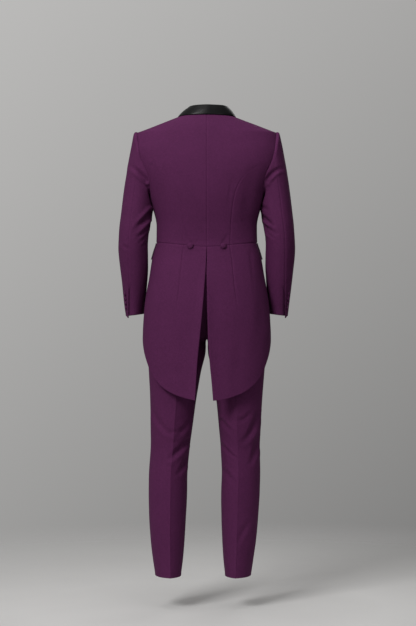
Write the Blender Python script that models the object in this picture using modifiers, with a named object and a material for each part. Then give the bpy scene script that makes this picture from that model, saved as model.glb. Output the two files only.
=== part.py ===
"""A tailcoat suit that keeps the form of being worn: a coat with tails, and trousers inside it.

Metres, +Z up, the front faces -Y, and the wearer's left is +X. The origin is in the neck
opening, where the wearer's neck and shoulders carry the coat. Every panel is a wall of cloth,
laid out as rows of points on one smooth surface, and its neighbour starts 0.3 mm away.
"""

import math

import bmesh
import bpy
import numpy as np
from mathutils import Vector
from mathutils.bvhtree import BVHTree

# Cloth and seams
COAT_WALL = 0.0020
TROUSER_WALL = 0.0016
SATIN_WALL = 0.0020
SEAM_GAP = 0.0003
HALF_GAP = SEAM_GAP / 2
LAYER_GAP = 0.0009
LAPEL_GAP = 0.0012

LEFT, RIGHT = 1, -1

# Heights of the coat, measured from the neck point of the shoulder
NECK = 0.0065
SHOULDER_TIP = -0.051
UNDERARM = -0.250
BREAK = -0.372
WAIST = -0.403
WAIST_DIP = 0.015
GORGE = -0.0508

# Front opening: where the roll line starts, and how far each front passes the centre
ROLL_TOP_X = 0.0685
FRONT_LAP = 0.014
LAP_LIFT = 0.0068

# Armhole: samples round it, and how far it cuts in from the widest line, back and front
ARMHOLE_SAMPLES = 20
ARMHOLE_CUT_BACK = 0.10
ARMHOLE_CUT_FRONT = 0.14
ARMHOLE_CUT_LOW = 0.09
SIDE_BACK_TOP_SAMPLE = 5
HIND_SEAM_SAMPLE = 4
FORE_SEAM_SAMPLE = 13

# Cuffs, and how far down the sleeve its shape is still drawn to the armhole
CUFF_VENT_START = 0.74
CUFF_VENT_OPEN = 0.0012
CUFF_PLACKET_DROP = 0.0080
ARMHOLE_BLEND = 0.20

# Buttons
BACK_BUTTON_RADIUS = 0.0095
BACK_BUTTON_X = 0.0520
BACK_BUTTON_HEIGHT = -0.4165
CUFF_BUTTON_RADIUS = 0.0064
CUFF_BUTTON_HEIGHTS = (-0.5655, -0.5800, -0.5945, -0.6090)
CUFF_BUTTON_ANGLE = 38.0
FRONT_BUTTON_RADIUS = 0.0100
FRONT_BUTTON_HEIGHT = -0.393
BUTTON_STEPS = 12

# Hip flaps
FLAP_REAR_ANGLE = 7.0
FLAP_FRONT_ANGLE = -46.0
FLAP_COLUMNS = 5
FLAP_DEPTH = 0.052
FLAP_STAND_OFF = 0.0020

# Trousers
WAISTBAND_TOP = -0.425
WAISTBAND_BOTTOM = -0.463
CROTCH = -0.714
TROUSER_HEM = -1.466
TOE_OUT = 7.0
CREASE_HEIGHT = 0.0045
CREASE_HALF_ANGLE = 30.0
LEG_LEAN = {LEFT: 0.0115, RIGHT: -0.0120}


class Table:
    """Rows of sizes with named columns. Between its rows a column is read along a smooth
    curve that never overshoots them."""

    def __init__(self, columns, rows):
        self.columns = columns
        self.rows = np.array(sorted(rows), float)
        where = self.rows[:, 0]
        self.step = np.diff(where)
        self.slopes = {name: self._slopes(name) for name in columns[1:]}

    def _slopes(self, name):
        rise = np.diff(self.rows[:, self.columns.index(name)]) / self.step
        slopes = np.concatenate([rise[:1], np.zeros(len(rise) - 1), rise[-1:]])
        for i in range(1, len(rise)):
            before, after = rise[i - 1], rise[i]
            if before * after > 0:
                slopes[i] = 2 * before * after / (before + after)
        return slopes

    def at(self, name, where):
        where = np.asarray(where, float)
        x = self.rows[:, 0]
        y = self.rows[:, self.columns.index(name)]
        slopes = self.slopes[name]
        i = np.clip(np.searchsorted(x, where) - 1, 0, len(x) - 2)
        step = self.step[i]
        t = np.clip((where - x[i]) / step, 0, 1)
        start = y[i] * (2 * t**3 - 3 * t**2 + 1) + slopes[i] * step * (t**3 - 2 * t**2 + t)
        end = y[i + 1] * (3 * t**2 - 2 * t**3) + slopes[i + 1] * step * (t**3 - t**2)
        return start + end


# Level sections of the coat, neck to tail: half of the width, and how far the back and front reach
COAT = Table(
    ("height", "half_width", "back", "front", "squareness"),
    (
        (0.0065, 0.0700, 0.0580, 0.0400, 2.20),
        (0.0000, 0.0890, 0.0640, 0.0460, 2.20),
        (-0.0140, 0.1250, 0.0730, 0.0540, 2.20),
        (-0.0330, 0.1750, 0.0820, 0.0620, 2.20),
        (-0.0470, 0.2115, 0.0885, 0.0675, 2.22),
        (-0.0510, 0.2220, 0.0900, 0.0690, 2.25),
        (-0.0560, 0.2245, 0.0920, 0.0710, 2.26),
        (-0.0800, 0.2310, 0.1000, 0.0800, 2.30),
        (-0.1120, 0.2350, 0.1090, 0.0920, 2.40),
        (-0.1500, 0.2290, 0.1170, 0.1070, 2.40),
        (-0.1900, 0.2120, 0.1215, 0.1210, 2.40),
        (-0.2250, 0.1950, 0.1225, 0.1290, 2.40),
        (-0.2500, 0.1840, 0.1215, 0.1320, 2.40),
        (-0.3000, 0.1690, 0.1145, 0.1290, 2.35),
        (-0.3500, 0.1605, 0.1050, 0.1210, 2.30),
        (-0.4030, 0.1610, 0.0990, 0.1130, 2.30),
        (-0.4300, 0.1685, 0.1030, 0.1130, 2.30),
        (-0.4580, 0.1755, 0.1100, 0.1145, 2.30),
        (-0.5120, 0.1840, 0.1230, 0.1170, 2.30),
        (-0.5600, 0.1930, 0.1305, 0.1190, 2.30),
        (-0.6020, 0.1990, 0.1345, 0.1205, 2.30),
        (-0.6500, 0.2028, 0.1370, 0.1210, 2.30),
        (-0.7000, 0.2050, 0.1380, 0.1210, 2.30),
        (-0.7600, 0.2045, 0.1385, 0.1200, 2.30),
        (-0.8400, 0.2000, 0.1390, 0.1190, 2.30),
        (-0.9100, 0.1940, 0.1390, 0.1180, 2.30),
    ),
)

# Bottom edge of the tails and skirts: 90 is the centre back, 0 the side, -90 the centre front
TAIL_HEM = Table(
    ("angle", "height"),
    (
        (90.0, -0.9020),
        (75.0, -0.8995),
        (60.0, -0.8910),
        (45.5, -0.8750),
        (34.8, -0.8530),
        (26.7, -0.8260),
        (21.4, -0.8030),
        (17.3, -0.7800),
        (12.0, -0.7540),
        (7.5, -0.7320),
        (0.0, -0.7060),
        (-15.0, -0.6470),
        (-30.0, -0.5830),
        (-45.0, -0.5230),
        (-60.0, -0.4740),
        (-70.0, -0.4490),
        (-80.0, -0.4300),
        (-90.0, -0.4195),
        (-98.0, -0.4165),
    ),
)

# Seam from the back armhole to the waist, as a distance from the centre back
SIDE_BACK_SEAM = Table(
    ("height", "x"),
    (
        (-0.1813, 0.1300),
        (-0.2060, 0.1090),
        (-0.2340, 0.0940),
        (-0.2700, 0.0845),
        (-0.3000, 0.0800),
        (-0.3500, 0.0765),
        (-0.4200, 0.0725),
    ),
)
TAIL_SEAM = Table(
    ("drop", "x"), ((0.0, 0.0725), (0.11, 0.0795), (0.25, 0.0860), (0.37, 0.0925), (1.0, 0.1080))
)

# Vent between the tails: how far each edge stands from the centre back
VENT = Table(
    ("height", "left", "right"),
    (
        (-0.4180, 0.0003, 0.0003),
        (-0.4700, 0.0028, 0.0004),
        (-0.5400, 0.0072, 0.0006),
        (-0.6200, 0.0135, 0.0018),
        (-0.7000, 0.0212, 0.0036),
        (-0.7800, 0.0288, 0.0086),
        (-0.8400, 0.0325, 0.0144),
        (-0.9020, 0.0358, 0.0195),
    ),
)

# Sleeve: outer and inner lines seen from behind, then its middle and half depth front to back
SLEEVE = Table(
    ("station", "outer_x", "outer_z", "inner_x", "inner_z", "middle_y", "half_depth"),
    (
        (0.000, 0.2220, -0.0510, 0.1840, -0.2500, 0.000, 0.0640),
        (0.015, 0.2275, -0.0500, 0.1880, -0.2535, 0.000, 0.0650),
        (0.040, 0.2335, -0.0580, 0.1875, -0.2640, 0.000, 0.0660),
        (0.080, 0.2390, -0.0800, 0.1830, -0.2760, 0.000, 0.0675),
        (0.130, 0.2465, -0.1180, 0.1775, -0.2880, 0.000, 0.0690),
        (0.180, 0.2535, -0.1580, 0.1740, -0.3000, 0.001, 0.0700),
        (0.240, 0.2610, -0.2050, 0.1745, -0.3150, 0.003, 0.0700),
        (0.300, 0.2675, -0.2550, 0.1765, -0.3320, 0.006, 0.0690),
        (0.360, 0.2730, -0.3030, 0.1800, -0.3500, 0.009, 0.0675),
        (0.420, 0.2785, -0.3480, 0.1842, -0.3720, 0.011, 0.0660),
        (0.470, 0.2812, -0.3850, 0.1868, -0.3930, 0.011, 0.0645),
        (0.520, 0.2825, -0.4180, 0.1878, -0.4170, 0.009, 0.0630),
        (0.570, 0.2812, -0.4470, 0.1875, -0.4430, 0.004, 0.0620),
        (0.630, 0.2775, -0.4850, 0.1875, -0.4780, -0.004, 0.0605),
        (0.700, 0.2732, -0.5250, 0.1895, -0.5150, -0.013, 0.0590),
        (0.770, 0.2695, -0.5600, 0.1928, -0.5500, -0.023, 0.0575),
        (0.840, 0.2662, -0.5920, 0.1967, -0.5830, -0.033, 0.0565),
        (0.910, 0.2635, -0.6170, 0.1998, -0.6080, -0.041, 0.0555),
        (1.000, 0.2610, -0.6370, 0.2028, -0.6300, -0.047, 0.0550),
    ),
)

# Sleeve seams, in degrees round from the outer line towards the back
SLEEVE_SEAMS = Table(
    ("station", "hind", "fore"),
    (
        (0.00, 72.0, 234.0),
        (0.50, 74.0, 232.0),
        (0.74, 64.0, 231.0),
        (1.00, 51.0, 230.0),
    ),
)

# Largest creases of the sleeve: a trough between two points, each a station and an angle round
SLEEVE_FOLDS = (
    # from station, from angle, to station, to angle, half width, depth
    (0.20, 50.0, 0.11, 105.0, 0.016, 0.0050),
    (0.26, 75.0, 0.17, 125.0, 0.018, 0.0040),
    (0.46, 155.0, 0.54, 95.0, 0.015, 0.0050),
    (0.55, 165.0, 0.60, 105.0, 0.015, 0.0040),
    (0.47, 200.0, 0.55, 255.0, 0.018, 0.0045),
)

# Collar: its roll line and leaf edge, from the centre back round to the gorge. Round the back a
# station meets the neck at its angle, and down the front it meets the roll line at its height.
COLLAR_BACK = Table(
    ("angle", "roll_x", "roll_y", "roll_z", "edge_height", "belly"),
    (
        (90.0, 0.0000, 0.0545, 0.0340, 0.0005, 0.0015),
        (67.0, 0.0235, 0.0500, 0.0335, 0.0005, 0.0015),
        (42.0, 0.0425, 0.0360, 0.0330, 0.0003, 0.0020),
        (18.0, 0.0535, 0.0170, 0.0320, 0.0000, 0.0025),
        (0.0, 0.0580, 0.0000, 0.0300, -0.0003, 0.0025),
    ),
)
COLLAR_FRONT = Table(
    ("height", "roll_x", "roll_y", "roll_z", "edge_x", "edge_height", "belly"),
    (
        (0.0030, 0.0605, -0.0205, 0.0240, 0.0950, -0.0050, 0.0025),
        (-0.0040, 0.0612, -0.0360, 0.0130, 0.1030, -0.0120, 0.0030),
        (-0.0150, 0.0608, -0.0500, -0.0040, 0.1090, -0.0210, 0.0035),
        (-0.0300, 0.0600, -0.0605, -0.0235, 0.1140, -0.0340, 0.0040),
        (-0.0460, 0.0580, -0.0700, -0.0450, 0.1180, -0.0500, 0.0040),
    ),
)
COLLAR_FOLD = 0.0048

# Lapel: distance of its outer edge from the centre front, at each height
LAPEL_EDGE = Table(
    ("height", "x"),
    (
        (-0.0508, 0.1180),
        (-0.0900, 0.1215),
        (-0.1500, 0.1150),
        (-0.2100, 0.0970),
        (-0.2700, 0.0690),
        (-0.3300, 0.0310),
        (-0.3720, -0.0060),
    ),
)

# Level sections of the left trouser half: a leg, or above the crotch one side of the hips
TROUSERS = Table(
    ("height", "centre_x", "half_width", "back", "front"),
    (
        (-0.4250, 0.0000, 0.1638, 0.0970, 0.1000),
        (-0.4630, 0.0000, 0.1670, 0.1060, 0.1020),
        (-0.5000, 0.0040, 0.1690, 0.1150, 0.1030),
        (-0.5600, 0.0180, 0.1620, 0.1200, 0.1000),
        (-0.6100, 0.0380, 0.1460, 0.1220, 0.0955),
        (-0.6600, 0.0640, 0.1230, 0.1185, 0.0900),
        (-0.7000, 0.0880, 0.1000, 0.1120, 0.0850),
        (-0.7140, 0.0955, 0.0935, 0.1090, 0.0835),
        (-0.7600, 0.0985, 0.0895, 0.1040, 0.0800),
        (-0.8060, 0.1010, 0.0840, 0.1000, 0.0780),
        (-0.9060, 0.1055, 0.0730, 0.0920, 0.0730),
        (-1.0000, 0.1095, 0.0660, 0.0850, 0.0690),
        (-1.0560, 0.1120, 0.0622, 0.0800, 0.0690),
        (-1.1460, 0.1165, 0.0612, 0.0830, 0.0640),
        (-1.1970, 0.1160, 0.0614, 0.0840, 0.0620),
        (-1.2740, 0.1155, 0.0587, 0.0800, 0.0610),
        (-1.3540, 0.1145, 0.0538, 0.0740, 0.0630),
        (-1.4140, 0.1130, 0.0478, 0.0700, 0.0660),
        (-1.4660, 0.1120, 0.0408, 0.0680, 0.0680),
    ),
)

# Largest creases of the trousers, on the back of each leg at the knee
TROUSER_FOLDS = (
    # from height, from angle, to height, to angle, half width, depth
    (-1.015, 150.0, -1.075, 95.0, 0.020, 0.0040),
    (-1.085, 165.0, -1.120, 110.0, 0.018, 0.0035),
    (-1.035, 20.0, -1.060, 75.0, 0.018, 0.0030),
    (-0.945, 60.0, -0.915, 140.0, 0.022, 0.0030),
)

# Rows of points down the coat and the trousers
YOKE_LEVELS = (NECK, 0.0, -0.010, -0.022, -0.036, SHOULDER_TIP)
BODY_LEVELS = (-0.272, -0.296, -0.322, -0.347, BREAK, WAIST)
TAIL_DROPS = tuple(i / 11 for i in range(12))
TAIL_COLUMNS = ((None, 5),)
SKIRT_COLUMNS = ((FLAP_REAR_ANGLE, 5), (FLAP_FRONT_ANGLE, FLAP_COLUMNS), (None, 4))
SLEEVE_STATIONS = tuple(SLEEVE.rows[:, 0])
TROUSER_LEVELS = (
    WAISTBAND_BOTTOM, -0.500, -0.540, -0.580, -0.615, -0.645, -0.672, -0.692, -0.706, CROTCH,
    -0.735, -0.765, -0.806, -0.855, -0.906, -0.950, -0.990, -1.025, -1.056, -1.086, -1.120,
    -1.160, -1.210, -1.274, -1.330, -1.380, -1.425, TROUSER_HEM,
)


def smoothstep(share):
    share = np.clip(share, 0, 1)
    return share * share * (3 - 2 * share)


def unit(vectors):
    return vectors / np.linalg.norm(vectors, axis=-1, keepdims=True)


def mirrored(points, side):
    return points * np.array([side, 1, 1])


def coat_point(angle, height):
    """A point of the coat's outer surface. The angle is in degrees: 0 at the wearer's left
    side, 90 at the centre back and -90 at the centre front."""
    angle, height = np.broadcast_arrays(np.radians(angle), height)
    across, along = np.cos(angle), np.sin(angle)
    power = COAT.at("squareness", height)
    reach = np.where(along >= 0, COAT.at("back", height), COAT.at("front", height))
    share = np.abs(across / COAT.at("half_width", height)) ** power + np.abs(along / reach) ** power
    radius = share ** (-1 / power)
    return np.stack([radius * across, radius * along, height], axis=-1)


def coat_normal(angle, height):
    around = coat_point(angle + 0.5, height) - coat_point(angle - 0.5, height)
    downwards = coat_point(angle, height - 0.0008) - coat_point(angle, height + 0.0008)
    return unit(np.cross(downwards, around))


def coat_angle(x, height, back=True):
    """The angle at which the coat's surface stands this far from the middle."""
    power = COAT.at("squareness", height)
    reach = COAT.at("back", height) if back else -COAT.at("front", height)
    share = np.clip(np.abs(x) / COAT.at("half_width", height), 0, 1)
    return np.degrees(np.arctan2(reach * (1 - share**power) ** (1 / power), x))


def gap_angle(angle, height):
    """The turn that moves a point half of a seam's gap along its section."""
    return np.degrees(HALF_GAP / np.linalg.norm(coat_point(angle, height)[..., :2], axis=-1))


def waist_height(angle):
    """The waist seam, which dips towards the centre back."""
    return WAIST - WAIST_DIP * np.clip(np.sin(np.radians(angle)), 0, 1) ** 2


def level_height(level, angle):
    """The height of a row of the upper coat: rows near the waist share its dip."""
    share = smoothstep((UNDERARM - level) / (UNDERARM - WAIST))
    return level + (waist_height(angle) - WAIST) * share


def roll_x(height):
    """How far the roll line stands from the centre front: it is straight down to the break."""
    share = np.clip((NECK - height) / (NECK - BREAK), 0, 1)
    return ROLL_TOP_X + (-FRONT_LAP - ROLL_TOP_X) * share


def lap_lift(points, side):
    """The left front rises near its edge, because it lies over the right one."""
    if side == RIGHT:
        return np.zeros(points.shape[:-1])
    near_edge = smoothstep((0.090 - points[..., 0]) / 0.050)
    below = smoothstep((-0.215 - points[..., 2]) / 0.075)
    front = points[..., 1] < 0
    return LAP_LIFT * near_edge * below * front


def armhole_turn(sample):
    return 360.0 * sample / ARMHOLE_SAMPLES


def armhole_level(sample):
    middle, half = (SHOULDER_TIP + UNDERARM) / 2, (SHOULDER_TIP - UNDERARM) / 2
    return middle + half * math.cos(math.radians(armhole_turn(sample)))


def armhole_angle(sample):
    """The armhole seam: samples run from the shoulder tip down the back, and up the front."""
    height = armhole_level(sample)
    cut_in = math.sin(math.radians(armhole_turn(sample)))
    back = cut_in >= 0
    low = 0.1 - math.cos(math.radians(armhole_turn(sample)))
    share = ARMHOLE_CUT_BACK + ARMHOLE_CUT_LOW * max(low, 0) if back else ARMHOLE_CUT_FRONT
    x = COAT.at("half_width", height) * (1 - share * cut_in**2)
    angle = coat_angle(x, height, back)
    return 0.0 if abs(cut_in) < 1e-6 else float(angle)


def between_samples(share):
    """A level this share of the way below the sample where the side-back seam starts."""
    top = armhole_level(SIDE_BACK_TOP_SAMPLE)
    return top + (armhole_level(SIDE_BACK_TOP_SAMPLE + 1) - top) * share


UNDERARM_SAMPLE = ARMHOLE_SAMPLES // 2
ARMHOLE_LEVELS = tuple(armhole_level(k) for k in range(1, UNDERARM_SAMPLE + 1))
COAT_LEVELS = YOKE_LEVELS + ARMHOLE_LEVELS + BODY_LEVELS
SEAM_START_LEVELS = tuple(between_samples(share) for share in (0.06, 0.35, 0.65))
BACK_LEVELS = tuple(sorted(COAT_LEVELS + SEAM_START_LEVELS, reverse=True))


def level_sample(level):
    """Which sample of the armhole lies at this row, or None above the tip and below the arm."""
    for sample in range(0, UNDERARM_SAMPLE + 1):
        if abs(armhole_level(sample) - level) < 1e-6:
            return sample
    return None


def side_back_angle(level):
    """The seam between the back and the side body: it leaves the armhole almost level."""
    low, top = between_samples(1), between_samples(0)
    if level > low:
        rise = ((level - low) / (top - low)) ** 1.3
        end, start = side_back_angle(low), armhole_angle(SIDE_BACK_TOP_SAMPLE)
        return end + (start - end) * rise
    height = level if level > WAIST else WAIST - WAIST_DIP / 2
    return float(coat_angle(SIDE_BACK_SEAM.at("x", height), height))


def side_back_gap(level):
    """Half of the seam's gap as a turn, wider where the seam runs nearly level."""
    step = 0.0005
    turned = math.radians(side_back_angle(level - step) - side_back_angle(level + step))
    slant = turned * float(np.linalg.norm(coat_point(50.0, level)[:2])) / (2 * step)
    return float(gap_angle(55.0, level)) * math.hypot(1, slant)


def front_edge_angle(level):
    return float(coat_angle(roll_x(level), level, back=False))


def collection(name):
    made = bpy.data.collections.new(name)
    bpy.context.scene.collection.children.link(made)
    return made


def cloth_material(name, colour, roughness):
    made = bpy.data.materials.new(name)
    made.use_nodes = True
    shader = made.node_tree.nodes["Principled BSDF"]
    shader.inputs["Base Color"].default_value = (*colour, 1.0)
    shader.inputs["Roughness"].default_value = roughness
    shader.inputs["Metallic"].default_value = 0.0
    return made


def add_mesh(name, body, material, parent, group):
    """Makes an object of a closed bmesh, with its faces turned outwards."""
    bmesh.ops.remove_doubles(body, verts=body.verts, dist=1e-6)
    bmesh.ops.recalc_face_normals(body, faces=body.faces)
    mesh = bpy.data.meshes.new(name)
    body.to_mesh(mesh)
    body.free()
    mesh.materials.append(material)
    mesh.shade_smooth()
    mesh.set_sharp_from_angle(angle=math.radians(40))
    made = bpy.data.objects.new(name, mesh)
    made.parent = parent
    group.objects.link(made)
    return made


def add_wall(name, outer, inner, material, parent, group):
    """A wall of cloth between two grids of points, which have the same rows and columns."""
    rows, columns = outer.shape[:2]
    body = bmesh.new()
    faces = []
    for grid in (outer, inner):
        faces.append([[body.verts.new(Vector(p)) for p in row] for row in grid])
    front, back = faces
    for i in range(rows - 1):
        for j in range(columns - 1):
            corners = ((i, j), (i + 1, j), (i + 1, j + 1), (i, j + 1))
            body.faces.new([front[a][b] for a, b in corners])
            body.faces.new([back[a][b] for a, b in reversed(corners)])
    rim = [(0, j) for j in range(columns)]
    rim += [(i, columns - 1) for i in range(1, rows)]
    rim += [(rows - 1, j) for j in range(columns - 2, -1, -1)]
    rim += [(i, 0) for i in range(rows - 2, 0, -1)]
    for (a, b), (c, d) in zip(rim, rim[1:] + rim[:1]):
        body.faces.new([front[a][b], front[c][d], back[c][d], back[a][b]])
    return add_mesh(name, body, material, parent, group)


def add_loft(name, rings, material, parent, group):
    """A solid through rings of points, closed at both ends."""
    body = bmesh.new()
    loops = [[body.verts.new(Vector(p)) for p in ring] for ring in rings]
    count = len(loops[0])
    for here, there in zip(loops, loops[1:]):
        for j in range(count):
            k = (j + 1) % count
            body.faces.new([here[j], here[k], there[k], there[j]])
    for loop in (loops[0], loops[-1]):
        half = count // 2
        for j in range(half - 1):
            body.faces.new([loop[j], loop[j + 1], loop[count - 2 - j], loop[count - 1 - j]])
    return add_mesh(name, body, material, parent, group)


def coat_rows(spans, columns):
    """Angles and heights for rows of the upper coat, each with its level and two end angles."""
    shares = np.linspace(0, 1, columns)
    angles = np.array([start + (end - start) * shares for _, start, end in spans])
    levels = np.array([[level] for level, _, _ in spans])
    heights = level_height(levels, angles)
    at_waist = np.abs(levels - WAIST) < 1e-9
    return angles, heights + HALF_GAP * at_waist


def coat_panel(name, angles, heights, side, material, parent, group):
    """A panel of the coat, from a grid of angles and heights."""
    points, normals = coat_point(angles, heights), coat_normal(angles, heights)
    outer = points + normals * lap_lift(points, side)[..., None]
    inner = outer - normals * COAT_WALL
    add_wall(name, mirrored(outer, side), mirrored(inner, side), material, parent, group)
    return outer, normals


def back_spans():
    """The back panel: from the centre back to the shoulder, the armhole and the side-back seam."""
    spans = []
    for level in BACK_LEVELS:
        sample = level_sample(level)
        if sample is not None and 0 < sample <= SIDE_BACK_TOP_SAMPLE:
            edge = armhole_angle(sample)
        elif level >= SHOULDER_TIP:
            edge = float(gap_angle(0, level))
        else:
            edge = side_back_angle(level) + side_back_gap(level)
        spans.append((level, 90 - float(gap_angle(90, level)), edge))
    return spans


def side_back_spans():
    """The side body: between the side-back seam and the armhole, then the side seam."""
    spans = []
    top, low = SIDE_BACK_TOP_SAMPLE, SIDE_BACK_TOP_SAMPLE + 1
    for level in BACK_LEVELS:
        if level > between_samples(0.01):
            continue
        sample = level_sample(level)
        if level in SEAM_START_LEVELS:
            share = (level - armhole_level(top)) / (armhole_level(low) - armhole_level(top))
            edge = armhole_angle(top) + (armhole_angle(low) - armhole_angle(top)) * share
        elif sample is None or sample == UNDERARM_SAMPLE:
            edge = float(gap_angle(0, level))
        else:
            edge = armhole_angle(sample)
        spans.append((level, side_back_angle(level) - side_back_gap(level), edge))
    return spans


def front_spans():
    """A front: from the shoulder, armhole and side seam to the roll line and front edge."""
    spans = []
    for level in COAT_LEVELS:
        sample = level_sample(level)
        on_armhole = sample is not None and 0 < sample < UNDERARM_SAMPLE
        edge = armhole_angle(-sample) if on_armhole else -float(gap_angle(0, level))
        spans.append((level, edge, front_edge_angle(level)))
    return spans


def tail_heights(drops, angles):
    top = waist_height(angles) - HALF_GAP
    return top + (TAIL_HEM.at("height", angles) - top) * drops


def tail_seam_angle(drop):
    height = WAIST - WAIST_DIP / 2 + (TAIL_HEM.at("height", 55.0) - WAIST) * drop
    return float(coat_angle(TAIL_SEAM.at("x", drop), height))


def tail_rows(ends, stops):
    """Angles and heights for rows of a tail or skirt, each with its drop and two end angles.
    The columns between the stops, which are angles shared by every row, are evenly spaced."""
    angles = []
    for _, start, end in ends:
        marks = (start, *(angle for angle, _ in stops[:-1]), end)
        row = [start]
        for here, there, (_, count) in zip(marks, marks[1:], stops):
            row += list(np.linspace(here, there, count + 1)[1:])
        angles.append(row)
    angles = np.array(angles)
    drops = np.array([[drop] for drop, _, _ in ends])
    return angles, tail_heights(drops, angles)


def tail_spans(side):
    """A tail: from the vent to the seam that runs on from the side-back seam."""
    edge = "left" if side == LEFT else "right"
    spans = []
    for drop in TAIL_DROPS:
        height = float(tail_heights(drop, 90.0))
        vent = float(coat_angle(VENT.at(edge, height), height))
        seam = tail_seam_angle(drop) + float(gap_angle(55, height))
        spans.append((drop, vent, seam))
    return spans


def skirt_spans():
    """A skirt: from the tail seam round the hip to the front edge."""
    front = float(coat_angle(-FRONT_LAP, WAIST, back=False))
    front = front - 360 if front > 0 else front
    spans = []
    for drop in TAIL_DROPS:
        height = float(tail_heights(drop, 55.0))
        spans.append((drop, tail_seam_angle(drop) - float(gap_angle(55, height)), front))
    return spans


def armhole_ring():
    """The armhole seam as a ring of points, with the coat's normal at each."""
    samples = range(ARMHOLE_SAMPLES)
    signed = [s if s <= UNDERARM_SAMPLE else s - ARMHOLE_SAMPLES for s in samples]
    angles = np.array([armhole_angle(s) for s in signed])
    heights = np.array([armhole_level(s) for s in signed])
    return coat_point(angles, heights), coat_normal(angles, heights)


def sleeve_section(station, turn):
    """A point of the plain sleeve tube: turn is 0 on its outer line and 90 on its back."""
    turn = np.radians(turn)
    outer = [SLEEVE.at("outer_x", station), 0 * station, SLEEVE.at("outer_z", station)]
    inner = [SLEEVE.at("inner_x", station), 0 * station, SLEEVE.at("inner_z", station)]
    outer, inner = np.stack(outer, axis=-1), np.stack(inner, axis=-1)
    point = (outer + inner) / 2 + (outer - inner) / 2 * np.cos(turn)[..., None]
    depth = SLEEVE.at("middle_y", station) + SLEEVE.at("half_depth", station) * np.sin(turn)
    point[..., 1] += depth
    return point


def fold_depth(folds, down, turn, down_scale, turn_scale):
    """How far creases pull the cloth in at each point. down and turn place a point, and the
    scales turn them into metres."""
    depth = np.zeros(np.broadcast(down, turn).shape)
    for from_down, from_turn, to_down, to_turn, half_width, most in folds:
        start = np.array([from_down * down_scale, from_turn * turn_scale])
        run = np.array([to_down * down_scale, to_turn * turn_scale]) - start
        away_down, away_turn = down * down_scale - start[0], turn * turn_scale - start[1]
        share = np.clip((away_down * run[0] + away_turn * run[1]) / run.dot(run), 0, 1)
        distance = np.hypot(away_down - share * run[0], away_turn - share * run[1])
        depth += most * np.exp(-((distance / half_width) ** 2)) * (0.35 + 0.65 * np.sin(math.pi * share))
    return depth


def sleeve_point(station, turn):
    """A point of the sleeve's outer surface: the tube, drawn to the armhole at its top."""
    station, turn = np.broadcast_arrays(np.asarray(station, float), np.asarray(turn, float))
    plain = sleeve_section(station, turn)
    ring, _ = armhole_ring()
    at_top = sleeve_section(np.zeros(ARMHOLE_SAMPLES), armhole_turn(np.arange(ARMHOLE_SAMPLES)))
    pull = np.concatenate([ring - at_top, (ring - at_top)[:1]])
    where = (turn % 360) / 360 * ARMHOLE_SAMPLES
    sample = np.clip(np.floor(where + 1e-9).astype(int), 0, ARMHOLE_SAMPLES - 1)
    share = (where - sample)[..., None]
    drawn = pull[sample] * (1 - share) + pull[sample + 1] * share
    fade = np.clip(1 - station / ARMHOLE_BLEND, 0, 1) ** 2
    return plain + drawn * fade[..., None]


def sleeve_normal(station, turn):
    around = sleeve_point(station, turn + 1.0) - sleeve_point(station, turn - 1.0)
    down = sleeve_point(np.clip(station + 0.004, 0, 1), turn) - sleeve_point(
        np.clip(station - 0.004, 0, 1), turn
    )
    return unit(np.cross(down, around))


SLEEVE_LENGTH = 0.62
SLEEVE_DEGREE = 0.055 * math.pi / 180


def creased_sleeve(station, turn):
    depth = fold_depth(SLEEVE_FOLDS, station, turn % 360, SLEEVE_LENGTH, SLEEVE_DEGREE)
    return sleeve_point(station, turn) - sleeve_normal(station, turn) * depth[..., None]


def sleeve_gap(stations, turns):
    """Half of a sleeve seam's gap as a turn, at each station of a seam."""
    line = sleeve_point(stations, turns)
    along = unit(np.gradient(line, axis=0))
    across = sleeve_point(stations, turns + 0.5) - sleeve_point(stations, turns - 0.5)
    at_head = 1 + 1.6 * smoothstep(1 - stations / 0.16)
    return HALF_GAP * at_head / np.linalg.norm(np.cross(across, along), axis=-1)


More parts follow.
